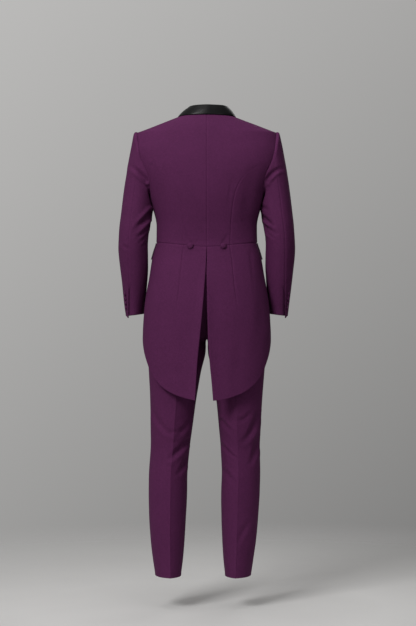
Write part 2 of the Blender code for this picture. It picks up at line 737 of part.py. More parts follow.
def sleeve_panel(name, upper, side, material, parent, group):
    """The top sleeve (upper) runs from the hind seam over the outer line to the fore seam, and
    the under sleeve has the rest. Their cuff ends part in a short vent at the hind seam."""
    stations = np.array(SLEEVE_STATIONS)
    hind, fore = SLEEVE_SEAMS.at("hind", stations), SLEEVE_SEAMS.at("fore", stations)
    if upper:
        start, end, count = fore - 360, hind, HIND_SEAM_SAMPLE + ARMHOLE_SAMPLES - FORE_SEAM_SAMPLE
    else:
        start, end, count = hind, fore, FORE_SEAM_SAMPLE - HIND_SEAM_SAMPLE
    vent = smoothstep((stations - CUFF_VENT_START) / (1 - CUFF_VENT_START)) * CUFF_VENT_OPEN
    vent = np.degrees(vent / SLEEVE.at("half_depth", stations))
    shares = np.linspace(0, 1, count + 1)
    turns = start[:, None] + (end - start)[:, None] * shares
    down = np.broadcast_to(stations[:, None], turns.shape)
    normals = sleeve_normal(down, turns)
    turns = turns.copy()
    turns[:, 0] += sleeve_gap(stations, start) + (0 if upper else vent)
    turns[:, -1] -= sleeve_gap(stations, end) + (vent if upper else 0)
    outer = creased_sleeve(down, turns)
    ring, ring_normals = armhole_ring()
    into_hole = unit(np.cross(ring_normals, np.roll(ring, -1, axis=0) - np.roll(ring, 1, axis=0)))
    middle = ring.mean(axis=0)
    towards = np.sign(np.sum(into_hole * (middle - ring), axis=-1))[:, None]
    towards[0] = np.sign(into_hole[0, 0])
    picks = np.rint(turns[0] / 360 * ARMHOLE_SAMPLES).astype(int) % ARMHOLE_SAMPLES
    outer[0] = ring[picks] + (into_hole * towards)[picks] * SEAM_GAP
    edges = outer[0, [0, -1]] - outer[0, [1, -2]]
    outer[0, [0, -1]] -= unit(edges) * SEAM_GAP
    inwards = -normals
    inwards[0] = unit(-ring_normals[picks] - normals[1])
    inwards[1] = unit(inwards[0] * 0.4 - normals[1])
    inner = outer + inwards * COAT_WALL
    if upper:
        corner = smoothstep(1 - (end[-1] - turns[-1]) / 30.0) * CUFF_PLACKET_DROP
        drop = unit(outer[-1] - outer[-2]) * corner[:, None]
        outer[-1] += drop
        inner[-1] += drop
    return add_wall(name, mirrored(outer, side), mirrored(inner, side), material, parent, group)


def add_button(name, radius, panel, start, towards, material, parent, group):
    """A domed, cloth-covered button, turned from a profile and seated where a line from start
    meets the outside of a panel."""
    thickness = radius * 0.46
    profile = (
        (0.0, thickness),
        (0.45, thickness * 0.93),
        (0.80, thickness * 0.68),
        (1.0, thickness * 0.34),
        (0.93, thickness * 0.08),
        (0.80, 0.0),
        (0.0, 0.0),
    )
    mesh = bpy.data.meshes.new(name)
    points = [(share * radius, 0.0, height) for share, height in profile]
    mesh.from_pydata(points, [(i, i + 1) for i in range(len(points) - 1)], [])
    mesh.materials.append(material)
    made = bpy.data.objects.new(name, mesh)
    turning = made.modifiers.new("Turned", "SCREW")
    turning.steps = turning.render_steps = BUTTON_STEPS
    turning.use_merge_vertices = True
    turning.merge_threshold = 1e-5
    turning.use_smooth_shade = True
    body = bmesh.new()
    body.from_mesh(panel.data)
    tree = BVHTree.FromBMesh(body)
    place, normal, _, _ = tree.ray_cast(Vector(start), Vector(towards))
    body.free()
    made.location = place + normal * SEAM_GAP
    made.rotation_euler = normal.to_track_quat("Z", "Y").to_euler()
    made.parent = parent
    group.objects.link(made)
    return made


def along_row(row, share):
    """A point at a share of the way through a row's points, on the straight lines between them."""
    where = np.clip(share, 0, 1) * (len(row) - 1)
    first = np.minimum(np.floor(where).astype(int), len(row) - 2)
    rest = (where - first)[..., None]
    return row[first] * (1 - rest) + row[first + 1] * rest


def add_lapel(name, front, side, material, parent, group):
    """Half of the shawl, from the gorge to the break, made from its front's points moved out."""
    points, normals = front
    outer, inner = [], []
    columns = 6
    for row, facing, level in zip(points, normals, COAT_LEVELS):
        if level > GORGE or level < BREAK - 1e-9:
            continue
        edge = LAPEL_EDGE.at("x", level)
        xs = row[:, 0]
        share = np.interp(-edge, -xs, np.linspace(0, 1, len(xs)))
        across = 1 - (1 - share) * np.linspace(0, 1, columns)
        place, out = along_row(row, across), unit(along_row(facing, across))
        flatness = smoothstep((level - BREAK - 0.070) / 0.10)
        roll = 0.0030 * flatness * (1 - np.linspace(0, 1, columns)) ** 2
        low = LAPEL_GAP + roll[:, None]
        inner.append(place + out * low)
        outer.append(place + out * (low + SATIN_WALL))
    outer, inner = np.array(outer), np.array(inner)
    return add_wall(name, mirrored(outer, side), mirrored(inner, side), material, parent, group)


def collar_station(neck, neck_normal, roll, edge, belly):
    """One section of the collar: up the stand, over the fold, and down the leaf."""
    outwards = edge - roll
    outwards = unit(np.array([outwards[0], outwards[1], 0.0]))
    over = roll - outwards * COLLAR_FOLD / 2
    beyond = roll + outwards * COLLAR_FOLD / 2
    foot = neck + neck_normal * 0.0006 + np.array([0, 0, 0.0018])
    line = [foot, foot * 0.5 + (over - [0, 0, 0.004]) * 0.5, over - [0, 0, 0.004]]
    line += [roll, beyond - [0, 0, 0.004]]
    leaf_normal = unit(np.cross(np.cross(edge - beyond, [0, 0, 1.0]), edge - beyond))
    if leaf_normal[2] < 0:
        leaf_normal = -leaf_normal
    for share in (0.35, 0.68, 1.0):
        bulge = 4 * share * (1 - share) * belly
        line.append(line[4] + (edge - line[4]) * share + leaf_normal * bulge)
    line = np.array(line)
    along = unit(np.concatenate([line[1:2] - line[:1], line[2:] - line[:-2], line[-1:] - line[-2:-1]]))
    turn_axis = unit(np.cross(outwards, [0, 0, 1.0]))
    beside = unit(np.cross(turn_axis, along))
    half = SATIN_WALL / 2
    return np.concatenate([line + beside * half, (line - beside * half)[::-1]])


def add_collar(name, material, parent, group):
    """The satin collar, in one piece from gorge to gorge round the back of the neck."""
    half = []
    lift = SATIN_WALL / 2 + LAYER_GAP
    for turn in np.linspace(90, 0, 7):
        height = COLLAR_BACK.at("edge_height", turn)
        edge = coat_point(turn, height) + coat_normal(turn, height) * lift
        neck, normal = coat_point(turn, NECK), coat_normal(turn, NECK)
        roll = np.array([COLLAR_BACK.at(f"roll_{axis}", turn) for axis in "xyz"])
        half.append(collar_station(neck, normal, roll, edge, COLLAR_BACK.at("belly", turn)))
    for height in COLLAR_FRONT.rows[::-1, 0]:
        edge_height = COLLAR_FRONT.at("edge_height", height)
        turn = coat_angle(COLLAR_FRONT.at("edge_x", height), edge_height, back=False)
        edge = coat_point(turn, edge_height) + coat_normal(turn, edge_height) * lift
        turn = front_edge_angle(height)
        neck, normal = coat_point(turn, height), coat_normal(turn, height)
        roll = np.array([COLLAR_FRONT.at(f"roll_{axis}", height) for axis in "xyz"])
        half.append(collar_station(neck, normal, roll, edge, COLLAR_FRONT.at("belly", height)))
    other = [mirrored(ring, RIGHT) for ring in half[:0:-1]]
    return add_loft(name, other + half, material, parent, group)


def add_flap(name, side, material, parent, group):
    """A pocket flap set in the waist seam, made from the skirt's columns of points moved out."""
    angles = np.linspace(FLAP_REAR_ANGLE, FLAP_FRONT_ANGLE, FLAP_COLUMNS + 1)
    share = np.linspace(0, 1, FLAP_COLUMNS + 1)
    rounding = 0.012 * smoothstep((share - 0.75) / 0.25)
    drops = np.linspace(0, 1, 4)[:, None]
    heights = waist_height(angles) - 0.0012 - (FLAP_DEPTH - rounding) * drops
    angles = np.broadcast_to(angles, heights.shape)
    points, normals = coat_point(angles, heights), coat_normal(angles, heights)
    inner = points + normals * (LAYER_GAP + FLAP_STAND_OFF * drops)[..., None]
    outer = inner + normals * COAT_WALL
    return add_wall(name, mirrored(outer, side), mirrored(inner, side), material, parent, group)


def trouser_turn_limit(height):
    """The turn at which a half's section meets the inside leg or the centre seam."""
    centre, half = TROUSERS.at("centre_x", height), TROUSERS.at("half_width", height)
    cosine = np.clip((HALF_GAP - centre) / half, -1, 1)
    limit = np.degrees(np.arccos(cosine))
    seam = np.degrees(HALF_GAP / half)
    return np.where(height <= CROTCH, 180 - seam, np.minimum(limit, 180 - seam))


def trouser_point(turn, height, side):
    """A point of the trousers' outer surface, in the left half's sense: turn is 0 on the
    outside of the leg, 90 on its back and -90 on its front."""
    turn, height = np.broadcast_arrays(np.asarray(turn, float), np.asarray(height, float))
    radians = np.radians(turn)
    back, front = TROUSERS.at("back", height), TROUSERS.at("front", height)
    across = TROUSERS.at("half_width", height) * np.cos(radians)
    along = (back + front) / 2 * np.sin(radians)
    ridge = np.clip(1 - np.abs(np.abs(turn) - 90) / CREASE_HALF_ANGLE, 0, 1) ** 1.5
    pressed = smoothstep((-0.64 - height) / 0.25)
    along += np.sign(radians) * ridge * CREASE_HEIGHT * pressed
    across *= 1 - 0.05 * pressed * np.clip(np.abs(np.sin(radians)), 0, 1) ** 2
    yaw = np.radians(TOE_OUT) * smoothstep((-0.76 - height) / 0.16)
    lean = LEG_LEAN[side] * smoothstep((CROTCH - height) / (CROTCH - TROUSER_HEM))
    centre = TROUSERS.at("centre_x", height) + lean
    x = centre + across * np.cos(yaw) - along * np.sin(yaw)
    y = (back - front) / 2 + along * np.cos(yaw) + across * np.sin(yaw)
    return np.stack([x, y, height], axis=-1)


def trouser_normal(turn, height, side):
    around = trouser_point(turn + 1.0, height, side) - trouser_point(turn - 1.0, height, side)
    down = trouser_point(turn, height - 0.002, side) - trouser_point(turn, height + 0.002, side)
    return unit(np.cross(down, around))


TROUSER_DEGREE = 0.065 * math.pi / 180


def trouser_panel(name, back, side, material, parent, group):
    """The back or front of one trouser half, from the centre seam and inside leg to the outside
    seam. A crease line runs down its middle."""
    columns = 9
    levels = np.array(TROUSER_LEVELS)
    first = trouser_turn_limit(levels)
    last = np.degrees(HALF_GAP / TROUSERS.at("half_width", levels))
    half = (columns - 1) // 2
    crease = np.where(first > 100, 90.0, first + (last - first) / 2)
    to_crease = np.linspace(0, 1, half + 1)
    inside = first[:, None] + (crease - first)[:, None] * to_crease
    outside = crease[:, None] + (last - crease)[:, None] * to_crease[1:]
    turns = np.concatenate([inside, outside], axis=1)
    signed = turns if back else -turns
    heights = np.broadcast_to(levels[:, None], signed.shape).copy()
    heights[0] -= SEAM_GAP
    creases = fold_depth(TROUSER_FOLDS, heights, signed, 1.0, TROUSER_DEGREE)
    normals = trouser_normal(signed, heights, side)
    outer = trouser_point(signed, heights, side) - normals * creases[..., None]
    inner = outer - normals * TROUSER_WALL
    seam = levels > CROTCH + 1e-6
    for grid in (outer, inner):
        grid[seam, 0, 0] = HALF_GAP
    add_wall(name, mirrored(outer, side), mirrored(inner, side), material, parent, group)


def add_waistband(name, material, parent, group):
    """The waistband, open at the centre front under the fly."""
    turns = np.linspace(-90 + 0.15, 270 - 0.15, 41)
    outer, inner = [], []
    for height in (WAISTBAND_TOP, (WAISTBAND_TOP + WAISTBAND_BOTTOM) / 2, WAISTBAND_BOTTOM):
        plain = np.where(turns > 90, 180 - turns, turns)
        side = np.where(turns > 90, RIGHT, LEFT)[:, None]
        points = trouser_point(plain, height, LEFT)
        normals = trouser_normal(plain, height, LEFT)
        flip = np.concatenate([side, np.ones_like(side), np.ones_like(side)], axis=1)
        outer.append(points * flip)
        inner.append((points - normals * TROUSER_WALL * 1.5) * flip)
    return add_wall(name, np.array(outer), np.array(inner), material, parent, group)


def add_coat(wool, satin, parent, group):
    for side, word in ((LEFT, "left"), (RIGHT, "right")):
        angles, heights = coat_rows(back_spans(), 7)
        coat_panel(f"back_{word}", angles, heights, side, wool, parent, group)
        angles, heights = coat_rows(side_back_spans(), 5)
        coat_panel(f"side_back_{word}", angles, heights, side, wool, parent, group)
        angles, heights = coat_rows(front_spans(), 10)
        front = coat_panel(f"front_{word}", angles, heights, side, wool, parent, group)
        add_lapel(f"lapel_{word}", front, side, satin, parent, group)
        angles, heights = tail_rows(tail_spans(side), TAIL_COLUMNS)
        coat_panel(f"tail_{word}", angles, heights, side, wool, parent, group)
        angles, heights = tail_rows(skirt_spans(), SKIRT_COLUMNS)
        coat_panel(f"skirt_{word}", angles, heights, side, wool, parent, group)
        add_flap(f"flap_{word}", side, wool, parent, group)
        sleeve_panel(f"sleeve_under_{word}", False, side, wool, parent, group)
        top = sleeve_panel(f"sleeve_top_{word}", True, side, wool, parent, group)
        add_cuff_buttons(word, side, top, wool, parent, group)
        seat = bpy.data.objects[f"tail_{word}"]
        start = (side * BACK_BUTTON_X, 0.3, BACK_BUTTON_HEIGHT - 0.006)
        name = f"waist_button_{word}"
        add_button(name, BACK_BUTTON_RADIUS, seat, start, (0, -1, 0), wool, parent, group)
    add_collar("collar", satin, parent, group)
    start = (0.0, -0.3, FRONT_BUTTON_HEIGHT)
    seat = bpy.data.objects["front_left"]
    add_button("front_button", FRONT_BUTTON_RADIUS, seat, start, (0, 1, 0), wool, parent, group)


def add_cuff_buttons(word, side, sleeve, material, parent, group):
    down = np.linspace(0.6, 1, 200)
    heights = sleeve_point(down, CUFF_BUTTON_ANGLE)[:, 2]
    for i, height in enumerate(CUFF_BUTTON_HEIGHTS):
        station = np.interp(-height, -heights, down)
        place = sleeve_point(np.array(station), np.array(CUFF_BUTTON_ANGLE))
        out = sleeve_normal(np.array(station), np.array(CUFF_BUTTON_ANGLE))
        start = mirrored(place + out * 0.05, side)
        name = f"cuff_button_{word}_{i + 1}"
        add_button(name, CUFF_BUTTON_RADIUS, sleeve, start, mirrored(-out, side), material, parent, group)


def add_trousers(wool, parent, group):
    for side, word in ((LEFT, "left"), (RIGHT, "right")):
        trouser_panel(f"trouser_back_{word}", True, side, wool, parent, group)
        trouser_panel(f"trouser_front_{word}", False, side, wool, parent, group)
    add_waistband("waistband", wool, parent, group)


def main():
    for old in list(bpy.data.objects):
        bpy.data.objects.remove(old)
    group = collection("Tailcoat suit")
    coat = bpy.data.objects.new("coat", None)
    trousers = bpy.data.objects.new("trousers", None)
    for empty in (coat, trousers):
        group.objects.link(empty)
    wool = cloth_material("aubergine wool", (0.080, 0.020, 0.062), 0.85)
    satin = cloth_material("black satin", (0.010, 0.010, 0.011), 0.35)
    add_coat(wool, satin, coat, group)
    add_trousers(wool, trousers, group)


main()
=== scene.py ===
import math

import bpy
import numpy as np
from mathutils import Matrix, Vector
from mathutils.bvhtree import BVHTree


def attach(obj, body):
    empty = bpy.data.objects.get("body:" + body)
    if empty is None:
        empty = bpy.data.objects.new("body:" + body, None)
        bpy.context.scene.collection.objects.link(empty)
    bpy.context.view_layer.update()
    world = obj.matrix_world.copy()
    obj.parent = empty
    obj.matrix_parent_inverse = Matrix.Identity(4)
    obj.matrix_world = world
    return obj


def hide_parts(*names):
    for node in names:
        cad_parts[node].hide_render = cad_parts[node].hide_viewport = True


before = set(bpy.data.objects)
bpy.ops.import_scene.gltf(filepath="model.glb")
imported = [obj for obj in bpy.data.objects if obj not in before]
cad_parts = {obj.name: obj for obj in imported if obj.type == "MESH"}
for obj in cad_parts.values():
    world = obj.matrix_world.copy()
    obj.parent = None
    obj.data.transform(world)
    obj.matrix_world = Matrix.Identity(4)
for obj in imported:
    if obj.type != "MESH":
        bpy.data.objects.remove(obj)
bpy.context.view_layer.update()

bl_info = {
    "name": "Tailcoat Suit Looks",
    "version": (1, 0, 0),
    "blender": (4, 5, 0),
    "location": "3D View > Sidebar > Tailcoat",
    "description": "Dresses a tailcoat suit in wool and satin, with creases, seams and buttons",
    "category": "Object",
}

# Metres, +Z up. The suit's back faces +Y, and the wearer's left is +X.
LEFT, RIGHT = 1, -1
SIDES = ((LEFT, "left"), (RIGHT, "right"))
CAMERA_PLACE = (-0.0038, 5.6, -0.627)
CAMERA_LENS = 100.6

# Heights of the coat, measured from the neck point of the shoulder
NECK = 0.0065
SHOULDER_TIP = -0.051
UNDERARM = -0.250
BREAK = -0.372
WAIST = -0.403
WAIST_DIP = 0.015
GORGE = -0.0488

# Front opening, and where the left front rises over the right one
ROLL_TOP_X = 0.0685
FRONT_LAP = 0.014
LAP_LIFT = 0.0068
LAP_START_X, LAP_WIDTH = 0.090, 0.050
LAP_TOP, LAP_RUN = -0.215, 0.075

# Armhole: how far it cuts in from the widest line, and where the side-back seam leaves it
ARMHOLE_CUT_BACK = 0.10
ARMHOLE_CUT_FRONT = 0.14
ARMHOLE_CUT_LOW = 0.09
SEAM_START_TURN = 90.0
SEAM_FULL_TURN = 108.0

# How clearly the side-back seam shows on each side, and the fullness just below the arm
SIDE_SEAM_SHOWS = {LEFT: 0.30, RIGHT: 0.75}
UNDER_ARM_RISE, UNDER_ARM_HEIGHT = 0.0034, -0.266

# Lapels: their widest, how much the roll and the middle swell, and how far the satin runs inside
LAPEL_WIDEST = 0.125
LAPEL_ROLL, LAPEL_BELLY = 0.0034, 0.0016
LAPEL_INSIDE = (0.003, 0.007, 0.0115)

# Collar: the foot of its stand above the neck, its leaf above the coat, and its closest rows
COLLAR_FOOT_GAP, COLLAR_FOOT_LIFT = 0.0006, 0.0018
COLLAR_LEAF_GAP = 0.0009
COLLAR_ROW = 0.0040
COLLAR_UNEVENNESS = 0.00025

# Sleeves, in shares of their length from shoulder to cuff, and the lengths of what they carry
SLEEVE_LENGTH = 0.62
ARMHOLE_BLEND = 0.20
CUFF_VENT_START = 0.74
CUFF_VENT_LEAD, CUFF_VENT_RUN = 0.01, 0.045
CUFF_VENT_OPEN = 0.0016
CUFF_EDGE_RISE = 0.0006
CUFF_UNDER_SINK = 0.0036
CUFF_PLACKET_DROP = 0.0080
CUFF_PLACKET_TURN = 30.0
INNER_ARM_TURN, INNER_ARM_STATION = 180, 0.115

# Buttons. Those at the waist lean out a little, as the photograph shows them.
BACK_BUTTON_RADIUS = 0.0101
BACK_BUTTON_X = 0.0520
BACK_BUTTON_HEIGHT = -0.4165
BACK_BUTTON_SEAT_DROP = 0.004
BACK_BUTTON_RISE = 0.0045
BACK_BUTTON_FACING = (0.16, 0.98, -0.06)
CUFF_BUTTON_RADIUS = 0.0064
CUFF_BUTTON_HEIGHTS = (-0.5655, -0.5800, -0.5945, -0.6090)
CUFF_BUTTON_ANGLE = 38.0
FRONT_BUTTON_RADIUS = 0.0100
FRONT_BUTTON_HEIGHT = -0.393
BUTTON_THICKNESS = 0.62
BUTTON_STAND_OFF = 0.0008
BUTTON_POINTS = 48
PLEAT_FROM, PLEAT_RUN = 0.62, 0.38
PLEAT_WIDTH, PLEAT_DEPTH = 0.022, 0.05

# A button's outline, as shares of its radius and thickness, from the middle out and under
BUTTON_PROFILE = (
    (0.0, 1.0), (0.22, 0.985), (0.42, 0.94), (0.60, 0.86), (0.76, 0.73), (0.88, 0.58),
    (0.96, 0.42), (1.0, 0.27), (0.985, 0.12), (0.90, 0.0), (0.5, -0.06),
)

# Hip flaps
FLAP_REAR_ANGLE = 3.0
FLAP_FRONT_ANGLE = -46.0
FLAP_LENGTH = 0.155
FLAP_DEPTH = 0.052
FLAP_CORNER = 0.012
FLAP_SEAM_DROP = 0.0012
FLAP_SEAT, FLAP_STAND_OFF = 0.0003, 0.0020

# Tails: their length at the vent, and where the seam beside each one fades out
TAIL_LENGTH = 0.48
TAIL_SEAM_END, TAIL_SEAM_FADE = -0.560, 0.060
VENT_EDGE_RIDGE = 0.0007

# Trousers
WAISTBAND_TOP = -0.425
WAISTBAND_BOTTOM = -0.463
CROTCH = -0.714
TROUSER_HEM = -1.466
TOE_OUT = 7.0
CREASE_HEIGHT = 0.0045
CREASE_HALF_ANGLE = 30.0
CRISP_FROM = -0.70
LEG_LEAN = {LEFT: 0.0115, RIGHT: -0.0120}
TROUSER_CELL = 1.12
SEAT_CLOSED_X = -0.0002
CREASE_RISE_WIDTH = 0.0035
INNER_LEG_FULLNESS, INNER_LEG_REACH = 0.5, 0.009

# Where the pressed creases begin and how soon they are full, and the same for the feet's turn
PRESSED_FROM, PRESSED_RUN = -0.64, 0.25
TOE_OUT_FROM, TOE_OUT_RUN = -0.76, 0.16

# Columns of points that stand close beside an edge, as distances from it
EDGE_STEPS = (0.0, 0.0004, 0.0010, 0.0020, 0.0036)

# How sewing shows: the groove of a seam, the allowance pressed flat beside it, and a hem
GROOVE_WIDTH = 0.0017
CENTRE_SEAM_DEPTH = 0.0007
SATIN_SEAM_DEPTH = 0.0008
ALLOWANCE = 0.007
ALLOWANCE_LIFT = 0.00028
HEM_LIFT = 0.00025

# How far the line of a stitching stands off the cloth
THREAD_STAND_OFF = 0.00008

# Distance between stitches and their length, and for the buttonhole its thread's thickness
HEM_STITCH, FLY_STITCH = (0.0075, 0.0012), (0.0032, 0.0022)
BUTTONHOLE_STITCH = (0.0006, 0.0013, 0.0007)

# Fly and buttonhole, on the plan of the front
FLY_WIDTH, FLY_TOP, FLY_BEND = 0.036, -0.475, -0.590
BUTTONHOLE_ENDS, BUTTONHOLE_HALF = (-0.0085, 0.0165), 0.0009


def smoothstep(share):
    share = np.clip(share, 0, 1)
    return share * share * (3 - 2 * share)


def rise(value, start, run):
    """0 until a value reaches its start, 1 once it is a run past it, and smooth between."""
    return smoothstep((value - start) / run)


def hump(value, width, centre=0.0):
    """1 at the centre, and almost nothing two widths away from it."""
    return np.exp(-(((value - centre) / width) ** 2))


def between(values, slopes, i, step, t):
    """A smooth curve through values with these slopes, a share t of the way past value i."""
    start = values[i] * (2 * t**3 - 3 * t**2 + 1) + slopes[i] * step * (t**3 - 2 * t**2 + t)
    end = values[i + 1] * (3 * t**2 - 2 * t**3) + slopes[i + 1] * step * (t**3 - t**2)
    return start + end


class Table:
    """Rows of sizes with named columns. Between its rows a column is read along a smooth
    curve that never overshoots them."""

    def __init__(self, columns, *rows):
        self.columns = columns.split()
        self.rows = np.array(sorted(rows), float)
        self.step = np.diff(self.rows[:, 0])
        self.slopes = {name: self._slopes(name) for name in self.columns[1:]}

    def _slopes(self, name):
        steep = np.diff(self.rows[:, self.columns.index(name)]) / self.step
        slopes = np.concatenate([steep[:1], np.zeros(len(steep) - 1), steep[-1:]])
        for i in range(1, len(steep)):
            before, after = steep[i - 1], steep[i]
            if before * after > 0:
                slopes[i] = 2 * before * after / (before + after)
        return slopes

    def at(self, name, where):
        where = np.asarray(where, float)
        x = self.rows[:, 0]
        i = np.clip(np.searchsorted(x, where) - 1, 0, len(x) - 2)
        t = np.clip((where - x[i]) / self.step[i], 0, 1)
        return between(self.rows[:, self.columns.index(name)], self.slopes[name], i, self.step[i], t)


# Level sections of the coat, neck to tail: half of the width, and how far the back and front reach
COAT = Table(
    "height half_width back front squareness",
    (0.0065, 0.0700, 0.0580, 0.0400, 2.20),
    (0.0000, 0.0890, 0.0640, 0.0460, 2.20),
    (-0.0140, 0.1250, 0.0730, 0.0540, 2.20),
    (-0.0330, 0.1750, 0.0820, 0.0620, 2.20),
    (-0.0470, 0.2115, 0.0885, 0.0675, 2.22),
    (-0.0510, 0.2220, 0.0900, 0.0690, 2.25),
    (-0.0560, 0.2245, 0.0920, 0.0710, 2.26),
    (-0.0800, 0.2310, 0.1000, 0.0800, 2.30),
    (-0.1120, 0.2350, 0.1090, 0.0920, 2.40),
    (-0.1500, 0.2290, 0.1170, 0.1070, 2.40),
    (-0.1900, 0.2120, 0.1215, 0.1210, 2.40),
    (-0.2250, 0.1950, 0.1225, 0.1290, 2.40),
    (-0.2500, 0.1840, 0.1215, 0.1320, 2.40),
    (-0.3000, 0.1690, 0.1145, 0.1290, 2.35),
    (-0.3500, 0.1605, 0.1050, 0.1210, 2.30),
    (-0.4030, 0.1610, 0.0990, 0.1130, 2.30),
    (-0.4300, 0.1685, 0.1030, 0.1130, 2.30),
    (-0.4580, 0.1755, 0.1100, 0.1145, 2.30),
    (-0.5120, 0.1840, 0.1230, 0.1170, 2.30),
    (-0.5600, 0.1930, 0.1305, 0.1190, 2.30),
    (-0.6020, 0.1990, 0.1345, 0.1205, 2.30),
    (-0.6500, 0.2028, 0.1370, 0.1210, 2.30),
    (-0.7000, 0.2050, 0.1380, 0.1210, 2.30),
    (-0.7600, 0.2045, 0.1385, 0.1200, 2.30),
    (-0.8400, 0.2000, 0.1390, 0.1190, 2.30),
    (-0.9100, 0.1940, 0.1390, 0.1180, 2.30),
)

# Bottom edge of the tails and skirts: 90 is the centre back, 0 the side, -90 the centre front
TAIL_HEM = Table(
    "angle height",
    (90.0, -0.9020),
    (75.0, -0.8995),
    (60.0, -0.8910),
    (45.5, -0.8750),
    (34.8, -0.8530),
    (26.7, -0.8260),
    (21.4, -0.8030),
    (17.3, -0.7800),
    (12.0, -0.7540),
    (7.5, -0.7320),
    (0.0, -0.7060),
    (-15.0, -0.6470),
    (-30.0, -0.5830),
    (-45.0, -0.5230),
    (-60.0, -0.4740),
    (-70.0, -0.4490),
    (-80.0, -0.4300),
    (-90.0, -0.4195),
    (-98.0, -0.4165),
)

# Seam from the back armhole to the waist, as a distance from the centre back
SIDE_BACK_SEAM = Table(
    "height x",
    (-0.1813, 0.1300),
    (-0.2060, 0.1090),
    (-0.2340, 0.0940),
    (-0.2700, 0.0845),
    (-0.3000, 0.0800),
    (-0.3500, 0.0765),
    (-0.4200, 0.0725),
)

# Seam beside each tail: its distance from the centre back, at shares of the drop to the hem
TAIL_SEAM = Table(
    "drop x",
    (0.0, 0.0725),
    (0.11, 0.0795),
    (0.25, 0.0860),
    (0.37, 0.0925),
    (1.0, 0.1080),
)

# Vent between the tails: how far each edge stands from the centre back
VENT = Table(
    "height left right",
    (-0.4180, 0.0003, 0.0003),
    (-0.4700, 0.0028, 0.0004),
    (-0.5400, 0.0072, 0.0006),
    (-0.6200, 0.0135, 0.0018),
    (-0.7000, 0.0212, 0.0036),
    (-0.7800, 0.0288, 0.0086),
    (-0.8400, 0.0325, 0.0144),
    (-0.9020, 0.0358, 0.0195),
)

# Sleeve: outer and inner lines seen from behind, then its middle and half depth front to back
SLEEVE = Table(
    "station outer_x outer_z inner_x inner_z middle_y half_depth",
    (0.000, 0.2220, -0.0510, 0.1840, -0.2500, 0.000, 0.0640),
    (0.015, 0.2275, -0.0500, 0.1880, -0.2535, 0.000, 0.0650),
    (0.040, 0.2335, -0.0580, 0.1875, -0.2640, 0.000, 0.0660),
    (0.080, 0.2390, -0.0800, 0.1830, -0.2760, 0.000, 0.0675),
    (0.130, 0.2465, -0.1180, 0.1775, -0.2880, 0.000, 0.0690),
    (0.180, 0.2535, -0.1580, 0.1740, -0.3000, 0.001, 0.0700),
    (0.240, 0.2610, -0.2050, 0.1745, -0.3150, 0.003, 0.0700),
    (0.300, 0.2675, -0.2550, 0.1765, -0.3320, 0.006, 0.0690),
    (0.360, 0.2730, -0.3030, 0.1800, -0.3500, 0.009, 0.0675),
    (0.420, 0.2785, -0.3480, 0.1842, -0.3720, 0.011, 0.0660),
    (0.470, 0.2812, -0.3850, 0.1868, -0.3930, 0.011, 0.0645),
    (0.520, 0.2825, -0.4180, 0.1878, -0.4170, 0.009, 0.0630),
    (0.570, 0.2812, -0.4470, 0.1875, -0.4430, 0.004, 0.0620),
    (0.630, 0.2775, -0.4850, 0.1875, -0.4780, -0.004, 0.0605),
    (0.700, 0.2732, -0.5250, 0.1895, -0.5150, -0.013, 0.0590),
    (0.770, 0.2695, -0.5600, 0.1928, -0.5500, -0.023, 0.0575),
    (0.840, 0.2662, -0.5920, 0.1967, -0.5830, -0.033, 0.0565),
    (0.910, 0.2635, -0.6170, 0.1998, -0.6080, -0.041, 0.0555),
    (1.000, 0.2610, -0.6370, 0.2028, -0.6300, -0.047, 0.0550),
)

# Sleeve seams, in degrees round from the outer line towards the back
SLEEVE_SEAMS = Table(
    "station hind fore",
    (0.00, 72.0, 234.0),
    (0.50, 74.0, 232.0),
    (0.74, 64.0, 231.0),
    (1.00, 51.0, 230.0),
)

# Collar: its roll line and leaf edge, from the centre back round to the gorge. Round the back a
# station meets the neck at its angle, and down the front it meets the roll line at its height.
COLLAR_BACK = Table(
    "angle roll_x roll_y roll_z edge_height belly",
    (90.0, 0.0000, 0.0545, 0.0340, 0.0005, 0.0015),
    (67.0, 0.0235, 0.0500, 0.0335, 0.0005, 0.0015),
    (42.0, 0.0425, 0.0360, 0.0330, 0.0003, 0.0020),
    (18.0, 0.0535, 0.0170, 0.0320, 0.0000, 0.0025),
    (0.0, 0.0580, 0.0000, 0.0300, -0.0003, 0.0025),
)

COLLAR_FRONT = Table(
    "height roll_x roll_y roll_z edge_x edge_height belly",
    (0.0030, 0.0605, -0.0205, 0.0240, 0.0950, -0.0050, 0.0025),
    (-0.0040, 0.0612, -0.0360, 0.0130, 0.1030, -0.0120, 0.0030),
    (-0.0150, 0.0608, -0.0500, -0.0040, 0.1090, -0.0210, 0.0035),
    (-0.0300, 0.0600, -0.0605, -0.0235, 0.1140, -0.0340, 0.0040),
    (-0.0460, 0.0580, -0.0700, -0.0450, 0.1180, -0.0500, 0.0040),
)

COLLAR_FOLD = 0.0048

# Lapel: distance of its outer edge from the centre front, at each height
LAPEL_EDGE = Table(
    "height x",
    (-0.0508, 0.1180),
    (-0.0900, 0.1215),
    (-0.1500, 0.1150),
    (-0.2100, 0.0970),
    (-0.2700, 0.0690),
    (-0.3300, 0.0310),
    (-0.3720, -0.0060),
)

